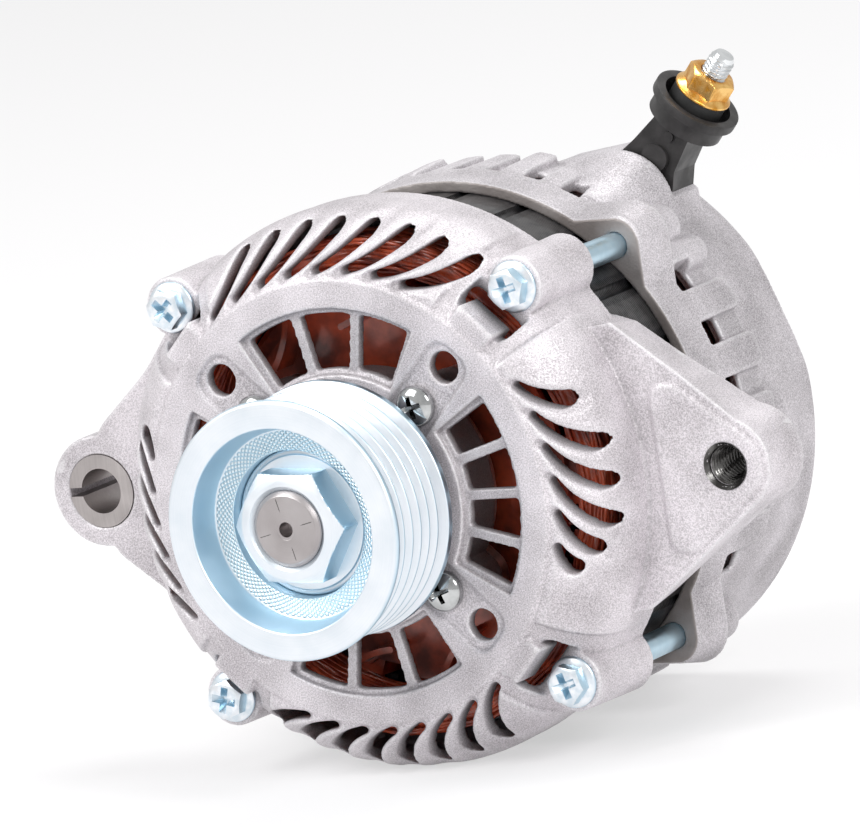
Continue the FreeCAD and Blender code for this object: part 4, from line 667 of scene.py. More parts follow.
@dataclass(frozen=True)
class Finish:
    """What every finish sets on its shader."""

    name: str
    dark: Colour
    light: Colour
    metallic: float
    roughness: float
    bump: float

    def start(self) -> tuple[Tree, Node]:
        """Make a new material.

        Returns:
            Its tree and its shader, with the plain numbers set.
        """
        material = bpy.data.materials.new(self.name)
        material.use_nodes = True
        shader = material.node_tree.nodes["Principled BSDF"]
        shader.inputs["Metallic"].default_value = self.metallic
        shader.inputs["Roughness"].default_value = self.roughness
        material.diffuse_color = (*self.light, 1.0)
        return Tree(material.node_tree), shader

    def close(self, tree: Tree, shader: Node, colour: Socket, height: Socket,
              roughness: Socket | None = None) -> Material:
        """Lead what varies over the surface to the shader.

        Args:
            tree: The material's tree.
            shader: Its shader.
            colour: The colour.
            height: The height of the fine skin.
            roughness: The roughness, if it varies.

        Returns:
            The material.
        """
        tree.join(colour, shader.inputs["Base Color"])
        if roughness is not None:
            tree.join(roughness, shader.inputs["Roughness"])
        feeds = {"Strength": BUMP_STRENGTH, "Distance": self.bump * MM, "Height": height}
        tree.join(tree.add("ShaderNodeBump", feeds).outputs[0], shader.inputs["Normal"])
        return bpy.data.materials[self.name]


@dataclass(frozen=True)
class CastFinish(Finish):
    """Shot-blasted aluminium with lighter worn edges, and painted shade in its corners and recesses."""

    grain: float = 0.42
    edge: float = 0.05
    bare_until: float = 0.0
    deep: Point = (1.6, 4.4)
    shade: float = 0.7
    rubbed: Colour = (0.80, 0.79, 0.80)
    bare_dark: Colour = (0.20, 0.175, 0.165)
    bare_light: Colour = (0.36, 0.33, 0.32)

    def build(self) -> Material:
        """Make the material.

        Returns:
            The finish as a material.
        """
        tree, shader = self.start()
        grain = Effects.use(tree, Effect.GRAIN, Size=self.grain)
        edges = Effects.use(tree, Effect.EDGES, Spread=self.edge)
        cloud = tree.spread(tree.noise(14.0, 4.0), 0.35, 0.65)
        tone = tree.plus(tree.times(grain.outputs["Fleck"], 0.62), tree.times(cloud, 0.38))
        colour = tree.mix(tone, self.dark, self.light)
        colour = tree.mix(tree.times(edges.outputs["Edge"], 0.5), colour, self.rubbed)
        # Painted shade: a third of the dark colour, laid into the inner corners here and into the recesses
        # below.
        painted_shade = tuple(part * 0.35 for part in self.dark)
        colour = tree.mix(tree.times(edges.outputs["Hollow"], 0.55), colour, painted_shade)
        x, y, z = tree.coordinate("Object")
        start, end = (depth * MM for depth in self.deep)
        # The deeper a point lies under the outside, the more painted shade it gets, up to the share set by
        # shade.
        recess = tree.spread(self.depth(tree, tree.length(x, z), y), start, end, 0.0, self.shade)
        colour = tree.mix(recess, colour, painted_shade)
        if self.bare_until:
            rim = self.bare_until * MM
            bare = tree.spread(y, rim - FEATHER, rim, 1.0, 0.0)
            colour = tree.mix(bare, colour, tree.mix(cloud, self.bare_dark, self.bare_light))
        rough = tree.spread(grain.outputs["Fleck"], 0.0, 1.0, self.roughness + 0.08, self.roughness - 0.1)
        return self.close(tree, shader, colour, grain.outputs["Height"], rough)

    def depth(self, tree: Tree, radius: Socket, y: Socket) -> Socket:
        """How far a point lies under the outside, where painted shade falls. Each casting has its own."""
        raise NotImplementedError


@dataclass(frozen=True)
class FrontCastFinish(CastFinish):
    """The front casting's finish, with painted shade under its flat face and its domed shoulder."""

    face_y: float = 16.5
    face_r: float = 49.0

    def depth(self, tree: Tree, radius: Socket, y: Socket) -> Socket:
        """The lesser of the depths under the face and under the shoulder.

        Args:
            tree: The material's tree.
            radius: A point's distance from the shaft's axis.
            y: Its place along the shaft.

        Returns:
            The depth.
        """
        centre_r, centre_y, dome_r = (part * MM for part in LOUVRE_DOME)
        out = tree.calc("MAXIMUM", tree.less(radius, centre_r), 0.0)
        along = tree.calc("MINIMUM", tree.less(y, centre_y), 0.0)
        beyond = tree.times(tree.calc("MAXIMUM", tree.less(radius, self.face_r * MM), 0.0), 3.0)
        under_face = tree.plus(tree.less(y, self.face_y * MM), beyond)
        return tree.calc("MINIMUM", tree.less(dome_r, tree.length(out, along)), under_face)


@dataclass(frozen=True)
class RearCastFinish(CastFinish):
    """The rear casting's finish, with painted shade in the row of holes round its skirt."""

    skirt_r: float = 61.2
    band: Point = (79.6, 89.0)

    def depth(self, tree: Tree, radius: Socket, y: Socket) -> Socket:
        """The depth under the skirt, inside the band of the holes only.

        Args:
            tree: The material's tree.
            radius: A point's distance from the shaft's axis.
            y: Its place along the shaft.

        Returns:
            The depth.
        """
        low, high = (end * MM for end in self.band)
        inside = tree.times(tree.spread(y, low - FEATHER, low),
                            tree.spread(y, high, high + FEATHER, 1.0, 0.0))
        return tree.times(tree.less(self.skirt_r * MM, radius), inside)


@dataclass(frozen=True)
class TurnedFinish(Finish):
    """Machined or plated metal with fine rings round the shaft's axis."""

    pitch: float = 0.12
    # sides: the colour painted as shade where the surface faces away from the shaft, or None.
    sides: Colour | None = None

    def build(self) -> Material:
        """Make the material.

        Returns:
            The finish as a material.
        """
        tree, shader = self.start()
        rings = Effects.use(tree, Effect.RINGS, Pitch=self.pitch)
        tone = tree.plus(tree.times(rings.outputs["Height"], 0.5), tree.times(rings.outputs["Tone"], 0.5))
        colour = tree.painted_facing_shade(tree.mix(tone, self.dark, self.light), self.sides)
        rough = tree.spread(rings.outputs["Tone"], 0.0, 1.0, self.roughness - 0.04, self.roughness + 0.08)
        return self.close(tree, shader, colour, rings.outputs["Height"], rough)


@dataclass(frozen=True)
class MottledFinish(Finish):
    """A plain surface with soft changes of colour and a fine skin."""

    patch: float = 5.0
    grain: float = 0.3
    coat: float = 0.0
    # sides: the colour painted as shade where the surface faces away from the shaft, or None.
    sides: Colour | None = None

    def build(self) -> Material:
        """Make the material.

        Returns:
            The finish as a material.
        """
        tree, shader = self.start()
        shader.inputs["Coat Weight"].default_value = self.coat
        shader.inputs["Coat Roughness"].default_value = 0.12
        cloud = tree.spread(tree.noise(self.patch, 4.0), 0.36, 0.64)
        colour = tree.painted_facing_shade(tree.mix(cloud, self.dark, self.light), self.sides)
        rough = tree.spread(cloud, 0.0, 1.0, self.roughness + 0.06, self.roughness - 0.06)
        return self.close(tree, shader, colour, tree.noise(self.grain), rough)


@dataclass(frozen=True)
class SheetFinish(Finish):
    """The edges of a varnished stack of thin sheets along the shaft, rubbed bright between its grooves."""

    sheet: float = 0.65
    grooves: int = 24
    rubbed: Colour = (0.085, 0.082, 0.083)

    def build(self) -> Material:
        """Make the material.

        Returns:
            The finish as a material.
        """
        tree, shader = self.start()
        shader.inputs["Coat Weight"].default_value = 0.35
        x, y, z = tree.coordinate("Object")
        wave = tree.calc("ABSOLUTE", tree.calc("SINE", tree.times(y, math.pi / self.sheet / MM)))
        streak = tree.spread(tree.noise(2.2, 5.0, 0.7), 0.42, 0.75)
        colour = tree.mix(tree.times(tree.spread(wave, 0.45, 1.0), streak), self.dark, self.light)
        turn = tree.calc("COSINE", tree.times(tree.calc("ARCTAN2", z, x), self.grooves))
        worn = tree.spread(tree.noise(3.0, 5.0, 0.7), 0.34, 0.6)
        land = tree.times(tree.spread(turn, -0.35, -0.15), worn)
        colour = tree.mix(tree.times(land, 0.75), colour, self.rubbed)
        return self.close(tree, shader, colour, wave)


@dataclass(frozen=True)
class KnurledFinish(Finish):
    """Zinc plate over a floor of small diamonds round the shaft, with painted shade in the grooves between
    them.
    """

    count: int = 90
    diamond: float = 1.05
    inner: float = 16.6
    outer: float = 21.2

    def build(self) -> Material:
        """Make the material.

        Returns:
            The finish as a material.
        """
        tree, shader = self.start()
        x, _, z = tree.coordinate("Object")
        radius = tree.length(x, z)
        round_way = tree.times(tree.calc("ARCTAN2", z, x), self.count / 2)
        outward = tree.times(radius, math.pi / self.diamond / MM)
        one, other = (tree.calc("ABSOLUTE", tree.calc("SINE", tree.calc(way, round_way, outward)))
                      for way in ("ADD", "SUBTRACT"))
        inner = self.inner * MM
        outer = self.outer * MM
        band = tree.times(tree.spread(radius, inner, inner + FEATHER),
                          tree.spread(radius, outer - FEATHER, outer, 1.0, 0.0))
        height = tree.times(tree.times(one, other), band)
        # The grooves between the diamonds are painted darker, as their shade.
        colour = tree.mix(tree.spread(height, 0.0, 0.7), self.dark, self.light)
        return self.close(tree, shader, colour, height)


FINISHES = (
    FrontCastFinish("casting", (0.34, 0.315, 0.330), (0.82, 0.775, 0.810), 0.30, 0.48, 0.16,
                    deep=(0.7, 3.4), shade=0.8),
    RearCastFinish("rear_casting", (0.28, 0.262, 0.274), (0.73, 0.695, 0.725), 0.30, 0.50, 0.14,
                   bare_until=70.9, deep=(1.7, 2.4), shade=1.0),
    # zinc and zinc_bolt paint shade on the faces that turn away from the shaft.
    TurnedFinish("zinc", (0.72, 0.79, 0.85), (0.93, 0.95, 0.98), 1.0, 0.40, 0.020, sides=(0.52, 0.72, 0.84)),
    MottledFinish("zinc_bolt", (0.72, 0.80, 0.86), (0.95, 0.97, 1.0), 1.0, 0.34, 0.006, 2.0,
                  sides=(0.48, 0.67, 0.78)),
    KnurledFinish("zinc_knurl", (0.56, 0.74, 0.83), (0.94, 0.98, 1.0), 1.0, 0.38, 0.5),
    MottledFinish("screw", (0.36, 0.37, 0.37), (0.62, 0.63, 0.63), 1.0, 0.10, 0.004),
    TurnedFinish("shaft", (0.34, 0.31, 0.31), (0.56, 0.53, 0.53), 1.0, 0.34, 0.012),
    TurnedFinish("bush", (0.28, 0.255, 0.25), (0.56, 0.52, 0.51), 1.0, 0.34, 0.014, 0.3),
    MottledFinish("steel", (0.30, 0.30, 0.31), (0.55, 0.55, 0.56), 1.0, 0.35, 0.006),
    # thread: near black, painted shade in the ear's threaded hole and in the lines pressed into the shaft's
    # face.
    MottledFinish("thread", (0.05, 0.048, 0.046), (0.20, 0.195, 0.19), 1.0, 0.24, 0.006),
    # A darker copy of the varnish, painted shade for the rear end turns.
    MottledFinish("varnish_dull", (0.05, 0.012, 0.010), (0.16, 0.035, 0.022), 0.0, 0.4, 0.05, 6.0, 0.8),
    MottledFinish("varnish", (0.30, 0.036, 0.018), (0.86, 0.150, 0.060), 0.0, 0.28, 0.05, 6.0, 0.8, 0.8),
    MottledFinish("pole", (0.16, 0.030, 0.018), (0.66, 0.105, 0.045), 0.1, 0.34, 0.08, 9.0, 0.6, 0.6),
    SheetFinish("sheets", (0.010, 0.010, 0.011), (0.12, 0.12, 0.13), 0.6, 0.30, 0.06),
    TurnedFinish("copper", (0.55, 0.27, 0.16), (0.80, 0.48, 0.32), 1.0, 0.25, 0.006),
    MottledFinish("carbon", (0.03, 0.03, 0.03), (0.075, 0.07, 0.065), 0.1, 0.55, 0.02),
    MottledFinish("plastic", (0.018, 0.018, 0.018), (0.035, 0.035, 0.035), 0.0, 0.42, 0.012, 7.0, 0.25),
    MottledFinish("stand", (0.014, 0.013, 0.013), (0.038, 0.036, 0.036), 0.0, 0.42, 0.02, 4.0, 0.25),
    MottledFinish("plate", (0.42, 0.42, 0.43), (0.62, 0.62, 0.63), 0.9, 0.38, 0.01),
    MottledFinish("brass", (0.66, 0.30, 0.045), (0.98, 0.62, 0.22), 1.0, 0.22, 0.006, 2.5),
    MottledFinish("plated", (0.52, 0.54, 0.55), (0.84, 0.86, 0.87), 1.0, 0.20, 0.006),
)

NODE_FINISHES = {
    "casting": ("front_bracket",),
    "rear_casting": ("rear_bracket",),
    "sheets": ("stator_core",),
    "varnish": ("stator_windings", "field_coil"),
    "zinc": ("through_bolts", "pulley", "pulley_nut", "rectifier_screws", "regulator_screws",
             "brush_holder_screws"),
    "screw": ("retainer_screws",),
    "bush": ("pivot_bush",),
    "steel": ("bearing_retainer", "spacer_collar", "brush_spring_front", "brush_spring_rear",
              "diodes_positive", "diodes_negative", "front_bearing_inner_ring", "front_bearing_outer_ring",
              "front_bearing_balls", "front_bearing_shields", "rear_bearing_inner_ring",
              "rear_bearing_outer_ring", "rear_bearing_balls", "rear_bearing_shields"),
    "shaft": ("rotor_shaft",),
    "pole": ("claw_pole_front", "claw_pole_rear", "fan_front", "fan_rear"),
    "copper": ("slip_rings",),
    "carbon": ("brush_front", "brush_rear"),
    "plastic": ("coil_bobbin", "slip_ring_hub", "brush_holder", "rectifier_spacers", "regulator",
                "plug_socket", "terminal_bush", "front_bearing_cage", "rear_bearing_cage"),
    "stand": ("terminal_stand",),
    "plate": ("rectifier_plate_positive", "rectifier_plate_negative"),
    "brass": ("socket_pins", "terminal_nut"),
    "plated": ("terminal_stud",),
}


# Sub-assemblies


@dataclass
class Casting:
    """A bracket whose sharp machined form is given the soft edges of a casting."""

    node: str
    name: str
    voxel: float = 0.45
    smoothing: float = 0.5
    rounds: int = 2
    share: float = 0.25

    def added(self) -> list[Form]:
        """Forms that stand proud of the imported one. Each bracket has its own."""
        raise NotImplementedError

    def scooped(self) -> list[Form]:
        """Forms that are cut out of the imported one. Each bracket has its own."""
        raise NotImplementedError

    def build(self, nodes: Nodes, finish: Material) -> None:
        """Make the soft copy and let it stand for the node.

        Args:
            nodes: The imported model's objects by name.
            finish: The casting's material.
        """
        form = bmesh.new()
        form.from_mesh(nodes[self.node].data)
        bmesh.ops.remove_doubles(form, verts=form.verts, dist=1e-6)
        bmesh.ops.scale(form, vec=(1 / MM, 1 / MM, 1 / MM), verts=form.verts)
        form = merged([carved(form, merged(self.scooped()))] + self.added())
        bmesh.ops.recalc_face_normals(form, faces=form.faces)
        bmesh.ops.scale(form, vec=(MM, MM, MM), verts=form.verts)
        mesh = bpy.data.meshes.new(self.name)
        form.to_mesh(mesh)
        form.free()
        piece = linked(self.name, mesh)
        shell = piece.modifiers.new("shell", "REMESH")
        shell.mode = "VOXEL"
        shell.voxel_size = self.voxel * MM
        soft = piece.modifiers.new("soft", "SMOOTH")
        soft.factor = self.smoothing
        soft.iterations = self.rounds
        light = piece.modifiers.new("light", "DECIMATE")
        light.ratio = self.share
        graph = bpy.context.evaluated_depsgraph_get()
        made = bpy.data.meshes.new_from_object(piece.evaluated_get(graph))
        piece.modifiers.clear()
        piece.data = made
        made.name = self.name
        made.shade_smooth()
        made.materials.clear()
        made.materials.append(finish)
        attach(piece, Body.HOUSING.value)
        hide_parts(self.node)
        LOG.info("%s: %d faces", self.name, len(made.polygons))


@dataclass
class FrontCasting(Casting):
    """The front bracket, with a scooped channel round each louvre, which leaves rounded ridges between.

    A group is the degrees of its middle, its count, and the first and the last louvre of full length. The
    ear's outlines are seen from the front, as (x, z).
    """

    groups: tuple[tuple[float, int, int, int], ...] = (
        (90.0, 8, 0, 8), (270.0, 8, 0, 8), (1.5, 6, 2, 4), (181.5, 6, 2, 4))
    pitch: float = 8.25
    sweep: float = 10.5
    inner_r: float = 51.6
    outer_r: float = 59.5
    short_r: float = 57.6
    shortest_r: float = 54.8
    half_in: float = 0.95
    half_out: float = 1.95
    bow: float = 0.06
    margin: float = 0.95
    depth: float = 1.7
    roof: float = 1.6
    lift: float = 0.05
    fade: float = 0.5
    blunt: float = 0.05
    stations: int = 18
    across: int = 8
    ear_inner: tuple[Point, ...] = (
        (53.5, -32.0), (58.5, -21.5), (61.6, -9.5), (62.3, 0.0), (61.6, 9.5), (58.5, 21.5), (53.5, 32.0))
    ear_front: tuple[Point, ...] = (
        (60.0, 33.0), (72.7, 22.8), (89.0, 9.0), (92.8, 4.9), (94.5, 0.0), (93.9, -4.0), (91.2, -8.0),
        (81.5, -15.2), (73.7, -20.9), (60.0, -31.0))
    ear_back: tuple[Point, ...] = (
        (58.0, 30.5), (68.1, 23.0), (85.3, 11.4), (90.6, 7.6), (94.5, 1.0), (93.9, -4.6), (90.6, -8.2),
        (82.0, -13.6), (73.0, -19.6), (58.0, -29.8))
    ear_y: Point = (37.2, 52.0)
    ear_x: float = 84.1
    ear_bore: float = 5.0
    bore_y: Point = (5.0, 70.0)
    block_at: Point = (47.5, 54.6)
    block_half: float = 5.2
    block_y: Point = (16.8, 25.5)

    def added(self) -> list[Form]:
        """The full ear on the right and a raised block beside each bolt's slot."""
        return [self.ear()] + [self.block(angle) for angle in QUARTERS]

    def ear(self) -> Form:
        """The adjusting ear, whose front outline is fuller than its back one.

        Returns:
            The bored solid.
        """
        made = bmesh.new()
        rings = []
        for y, outline in zip(self.ear_y, (self.ear_front, self.ear_back)):
            rings.append([made.verts.new((x, y, z)) for x, z in self.ear_inner + outline])
        skinned(made, rings, ends=True)
        low, high = self.bore_y
        bore = turned([(0.0, low), (self.ear_bore, low), (self.ear_bore, high), (0.0, high)], 64)
        placed(bore, Matrix.Translation((self.ear_x, 0, 0)) @ Matrix.Rotation(math.radians(-90), 4, "X"))
        return carved(made, bore)

    def block(self, angle: float) -> Form:
        """One raised block with a chamfered top.

        Args:
            angle: Where it stands, in degrees.

        Returns:
            The closed solid.
        """
        turn = Matrix.Rotation(math.radians(-angle), 4, "Y")
        made = bmesh.new()
        rings = []
        low, high = self.block_y
        for y, inset in ((low, 0.8), (low + 0.25, 0.3), (low + 0.8, 0.0), (high, 0.0)):
            near, far = self.block_at[0], self.block_at[1] - inset
            half = self.block_half - inset
            corners = ((near, -half), (far, -half), (far, half), (near, half))
            rings.append([made.verts.new(turn @ Vector((x, y, z))) for x, z in corners])
        return skinned(made, rings, ends=True)

    def scooped(self) -> list[Form]:
        """The channels of the four groups of louvres.

        Returns:
            A cutter for each louvre.
        """
        channels = []
        for centre, count, first_full, last_full in self.groups:
            for index in range(count):
                outer_r = self.outer_r
                if index < first_full:
                    outer_r = self.shortest_r if index == 0 else self.short_r
                if index > last_full:
                    outer_r = self.short_r
                offset = (index - (count - 1) / 2) * self.pitch
                channels.append(self.channel(centre + self.sweep / 2 + offset, outer_r))
        return channels

    def surface_y(self, radius: float) -> float:
        """Where the domed shoulder lies along the shaft at a radius."""
        centre_r, centre_y, dome_r = LOUVRE_DOME
        return centre_y - math.sqrt(max(dome_r**2 - (radius - centre_r) ** 2, 4.0))

    def channel(self, angle_in: float, outer_r: float) -> Form:
        """A round-bottomed groove along one louvre, which fades out at both ends.

        Args:
            angle_in: The angle of the louvre's inner end, in degrees.
            outer_r: The radius of its outer end.

        Returns:
            The closed cutter.
        """
        share = (outer_r - self.inner_r) / (self.outer_r - self.inner_r)
        start = Vector(polar(1.0, math.radians(angle_in))) * self.inner_r
        run = Vector(polar(1.0, math.radians(angle_in - self.sweep * share))) * outer_r - start
        side = Vector((run.y, -run.x)).normalized()
        made = bmesh.new()
        rings = []
        inner_fade = self.fade / 2
        for step in range(self.stations + 1):
            along = -inner_fade + (1 + inner_fade + self.fade) * step / self.stations
            inside = min(1.0, max(0.0, along))
            beyond = (along - inside) / (self.fade if along > 1 else inner_fade)
            swell = math.sqrt(max(1 - beyond**2, self.blunt**2))
            spot = start + run * along + side * (run.length * self.bow * 4 * inside * (1 - inside))
            half = (self.half_in + (self.half_out - self.half_in) * inside + self.margin) * swell
            floor = []
            roof = []
            for index in range(self.across + 1):
                lateral = 2 * index / self.across - 1
                point = spot + side * (half * lateral)
                level = self.surface_y(point.length)
                sunk = self.depth * swell * math.cos(lateral * math.pi / 2) - self.lift
                floor.append(made.verts.new((point.x, level + sunk, point.y)))
                roof.append(made.verts.new((point.x, level - self.roof, point.y)))
            rings.append(floor + list(reversed(roof)))
        return skinned(made, rings, ends=True)


@dataclass
class RearCasting(Casting):
    """The rear bracket, with proud round-ended tongues between thin-edged holes.

    A group of holes is the degrees of its middle, its pitch and its count. A tongue's profile is how far
    each corner lies under its top, and how far to the side as a share of its half width.
    """

    wall_r: float = 61.2
    edge: float = 1.5
    skirt_end: float = 80.8
    hole_share: float = 0.42
    pocket_r: float = 53.2
    pocket_margin: float = 1.2
    pocket_y: Point = (80.0, 89.4)
    tongue_end: float = 97.0
    tongue_limit: float = 130.0
    top_z: float = 59.8
    proud: float = 2.0
    rounds: int = 1
    groups: tuple[tuple[float, float, int], ...] = (
        (1.4, 12.6, 6), (90.0, 9.0, 7), (181.4, 12.6, 6), (270.0, 9.0, 7))
    profile: tuple[Point, ...] = (
        (3.2, 1.0), (0.5, 1.0), (0.12, 0.93), (0.0, 0.8), (0.0, 0.0), (0.0, -0.8), (0.12, -0.93), (0.5, -1.0),
        (3.2, -1.0))

    def places(self) -> Iterable[tuple[float, float, float, bool]]:
        """Where the holes are.

        Returns:
            Each hole's middle, its half angle, the pitch and whether a tongue follows it.
        """
        for centre, pitch, count in self.groups:
            for index in range(count):
                middle = centre + (index - (count - 1) / 2) * pitch
                yield middle, pitch * self.hole_share / 2, pitch, index < count - 1

    def scooped(self) -> list[Form]:
        """A wider pocket behind each hole, so that its edge is thin.

        Returns:
            The pockets.
        """
        pockets = []
        for angle, half, _, _ in self.places():
            wide = half + self.pocket_margin
            pockets.append(sector(self.pocket_r, self.wall_r - self.edge, angle - wide, angle + wide,
                                  *self.pocket_y))
        return pockets

    def added(self) -> list[Form]:
        """The tongues that can be seen, from the right-hand side over the top.

        Returns:
            The closed solids.
        """
        tongues = []
        for angle, half, pitch, followed in self.places():
            middle = (angle + pitch / 2) % 360
            if followed and middle < self.tongue_limit:
                tongues.append(self.tongue(middle, pitch / 2 - half))
        return tongues

    def tongue(self, middle: float, reach: float) -> Form:
        """One raised tongue that thins out towards the front and ends in two rounded corners.

        Args:
            middle: The angle of its middle, in degrees.
            reach: Half of the angle that it spans.

        Returns:
            The closed solid.
        """
        made = bmesh.new()
        rings = []
        start = self.skirt_end
        end = self.tongue_end
        for y, width, height in ((start - 3.0, 1.0, 0.0), (start + 3.0, 1.0, 0.7), (end - 2.0, 1.0, 1.0),
                                 (end - 0.8, 0.93, 1.0), (end - 0.2, 0.82, 1.0), (end, 0.7, 0.9)):
            outer = self.top_r(middle) + self.proud * height
            ring = []
            for under, side in self.profile:
                x, z = polar(outer - under, math.radians(middle + side * reach * width))
                ring.append(made.verts.new((x, y, z)))
            rings.append(ring)
        return skinned(made, rings, ends=True)

    def top_r(self, middle: float) -> float:
        """How far out the skirt reaches at an angle, where its top is flattened."""
        height = math.sin(math.radians(middle))
        return min(self.wall_r, self.top_z / height) if height > 0.5 else self.wall_r


@dataclass
class PulleyGroup:
    """The grooved pulley, its nut and the shaft's end."""

    half_width: float = 12.5
    rim_r: float = 29.05
    back_r: float = 28.6
    groove_count: int = 6
    groove_pitch: float = 3.56
    tip_r: float = 28.0
    root_r: float = 25.4
    flat: float = 0.5
    rim_edge: float = 0.6
    rounding: float = 0.45
    mouth_r: float = 22.8
    floor_r: float = 21.3
    recess: float = 7.5
    back_recess: float = 8.0
    seat_r: float = 16.9
    hub_r: float = 14.0
    collar_y: float = 14.5
    nut_flats: float = 24.0
    nut_turn: float = -3.5
    nut_flange_r: float = 16.4
    nut_front: float = -10.2
    shaft_r: float = 8.48
    shaft_front: float = -10.5
    centre_r: float = 1.7
    line_turn: float = 12.0

    def build(self, looks: Looks) -> None:
        """Make the pieces with their finishes.

        Args:
            looks: The finishes by name.
        """
        show("pulley_turned", self.pulley(), looks["zinc"], Body.ROTOR, ["pulley"], 40)
        show("pulley_floor", self.floor(), looks["zinc_knurl"], Body.ROTOR)
        show("pulley_nut_dressed", self.nut(), looks["zinc"], Body.ROTOR, ["pulley_nut"])
        show("shaft_end", self.shaft_end(), looks["shaft"], Body.ROTOR)
        show("shaft_lines", self.shaft_lines(), looks["thread"], Body.ROTOR)

    def pulley(self) -> Form:
        """The turned body with its ribs rounded as they are ground, snug round the nut's flange.

        Returns:
            The turned surface.
        """
        half = self.half_width
        front = self.recess - half
        back = half - self.back_recess
        start = -self.groove_count * self.groove_pitch / 2
        flank = (self.groove_pitch - 2 * self.flat) / 2
        snug = self.nut_flange_r + 0.03
        outline = [(snug, 0.0), (snug, -2.2), (self.seat_r, front), (self.floor_r, front),
                   (self.mouth_r, -half), (self.rim_r - self.rim_edge, -half),
                   (self.rim_r, self.rim_edge - half), (self.rim_r, start)]
        for groove in range(self.groove_count):
            near = start + groove * self.groove_pitch + self.flat / 2
            far = start + (groove + 1) * self.groove_pitch - self.flat / 2
            outline += [(self.tip_r, near), (self.root_r, near + flank), (self.root_r, far - flank),
                        (self.tip_r, far)]
        outline += [(self.back_r, -start), (self.back_r, half), (self.mouth_r, half), (self.floor_r, back),
                    (self.hub_r, back), (self.hub_r, self.collar_y), (self.shaft_r, self.collar_y)]
        return placed(turned([(r, -y) for r, y in soften(outline, self.rounding)], 256), SHAFTWARD)

    def floor(self) -> Form:
        """The knurled ring in the front recess, a hair proud of the turned floor."""
        height = self.half_width - self.recess + 0.03
        return placed(turned([(self.seat_r - 0.3, height), (self.floor_r - 0.05, height)], 192), SHAFTWARD)

    def nut(self) -> Form:
        """The flanged hexagon nut, with a dished step under the hexagon.

        Returns:
            The bored nut.
        """
        top = -self.nut_front
        bore_r = self.shaft_r + 0.03
        mouth_r = self.shaft_r + 1.2
        flange_in = self.shaft_r + 0.1
        flange_r = self.nut_flange_r
        body = hexagon_head(self.nut_flats, 3.0, top, self.nut_flats / 2 - 0.7)
        placed(body, Matrix.Rotation(math.radians(self.nut_turn), 4, "Z"))
        bore = turned([(bore_r, -1.0), (bore_r, top - 1.0), (mouth_r, top + 0.2), (mouth_r, top + 1.0),
                       (0.0, top + 1.0), (0.0, -1.0)], 96, True)
        flange = soften([(flange_in, 3.0), (15.0, 3.0), (15.2, 2.6), (16.0, 2.5), (flange_r, 2.1),
                         (flange_r, 0.2), (flange_r - 0.2, 0.0), (flange_in, 0.0)], 0.25)
        return placed(merged([carved(body, bore), turned(flange, 160, True)]), SHAFTWARD)

    def shaft_end(self) -> Form:
        """The shaft's chamfered face round its centre hole, a hair proud of the plain one.

        Returns:
            The turned surface.
        """
        front = -self.shaft_front
        outer_r = self.shaft_r + 0.015
        face = soften([(self.centre_r, front - 3.0), (self.centre_r, front - 0.5),
                       (self.centre_r + 0.6, front + 0.05), (self.shaft_r - 1.0, front + 0.05),
                       (outer_r, front - 0.9), (outer_r, front - 4.0)], 0.2)
        return placed(turned(face, 128), SHAFTWARD)

    def shaft_lines(self) -> Form:
        """The four short lines pressed into the shaft's face, as dark strips with tapered ends that paint the
        shade in them.

        Returns:
            The flat strips.
        """
        front = -self.shaft_front + 0.055
        lines = []
        for index in range(4):
            strip = bmesh.new()
            corners = [(3.9, 0.0), (4.6, 0.10), (6.7, 0.12), (7.2, 0.0), (6.7, -0.12), (4.6, -0.10)]
            strip.faces.new([strip.verts.new((x, y, front)) for x, y in corners])
            lines.append(placed(strip, Matrix.Rotation(math.radians(self.line_turn + 90 * index), 4, "Z")))
        return placed(merged(lines), SHAFTWARD)


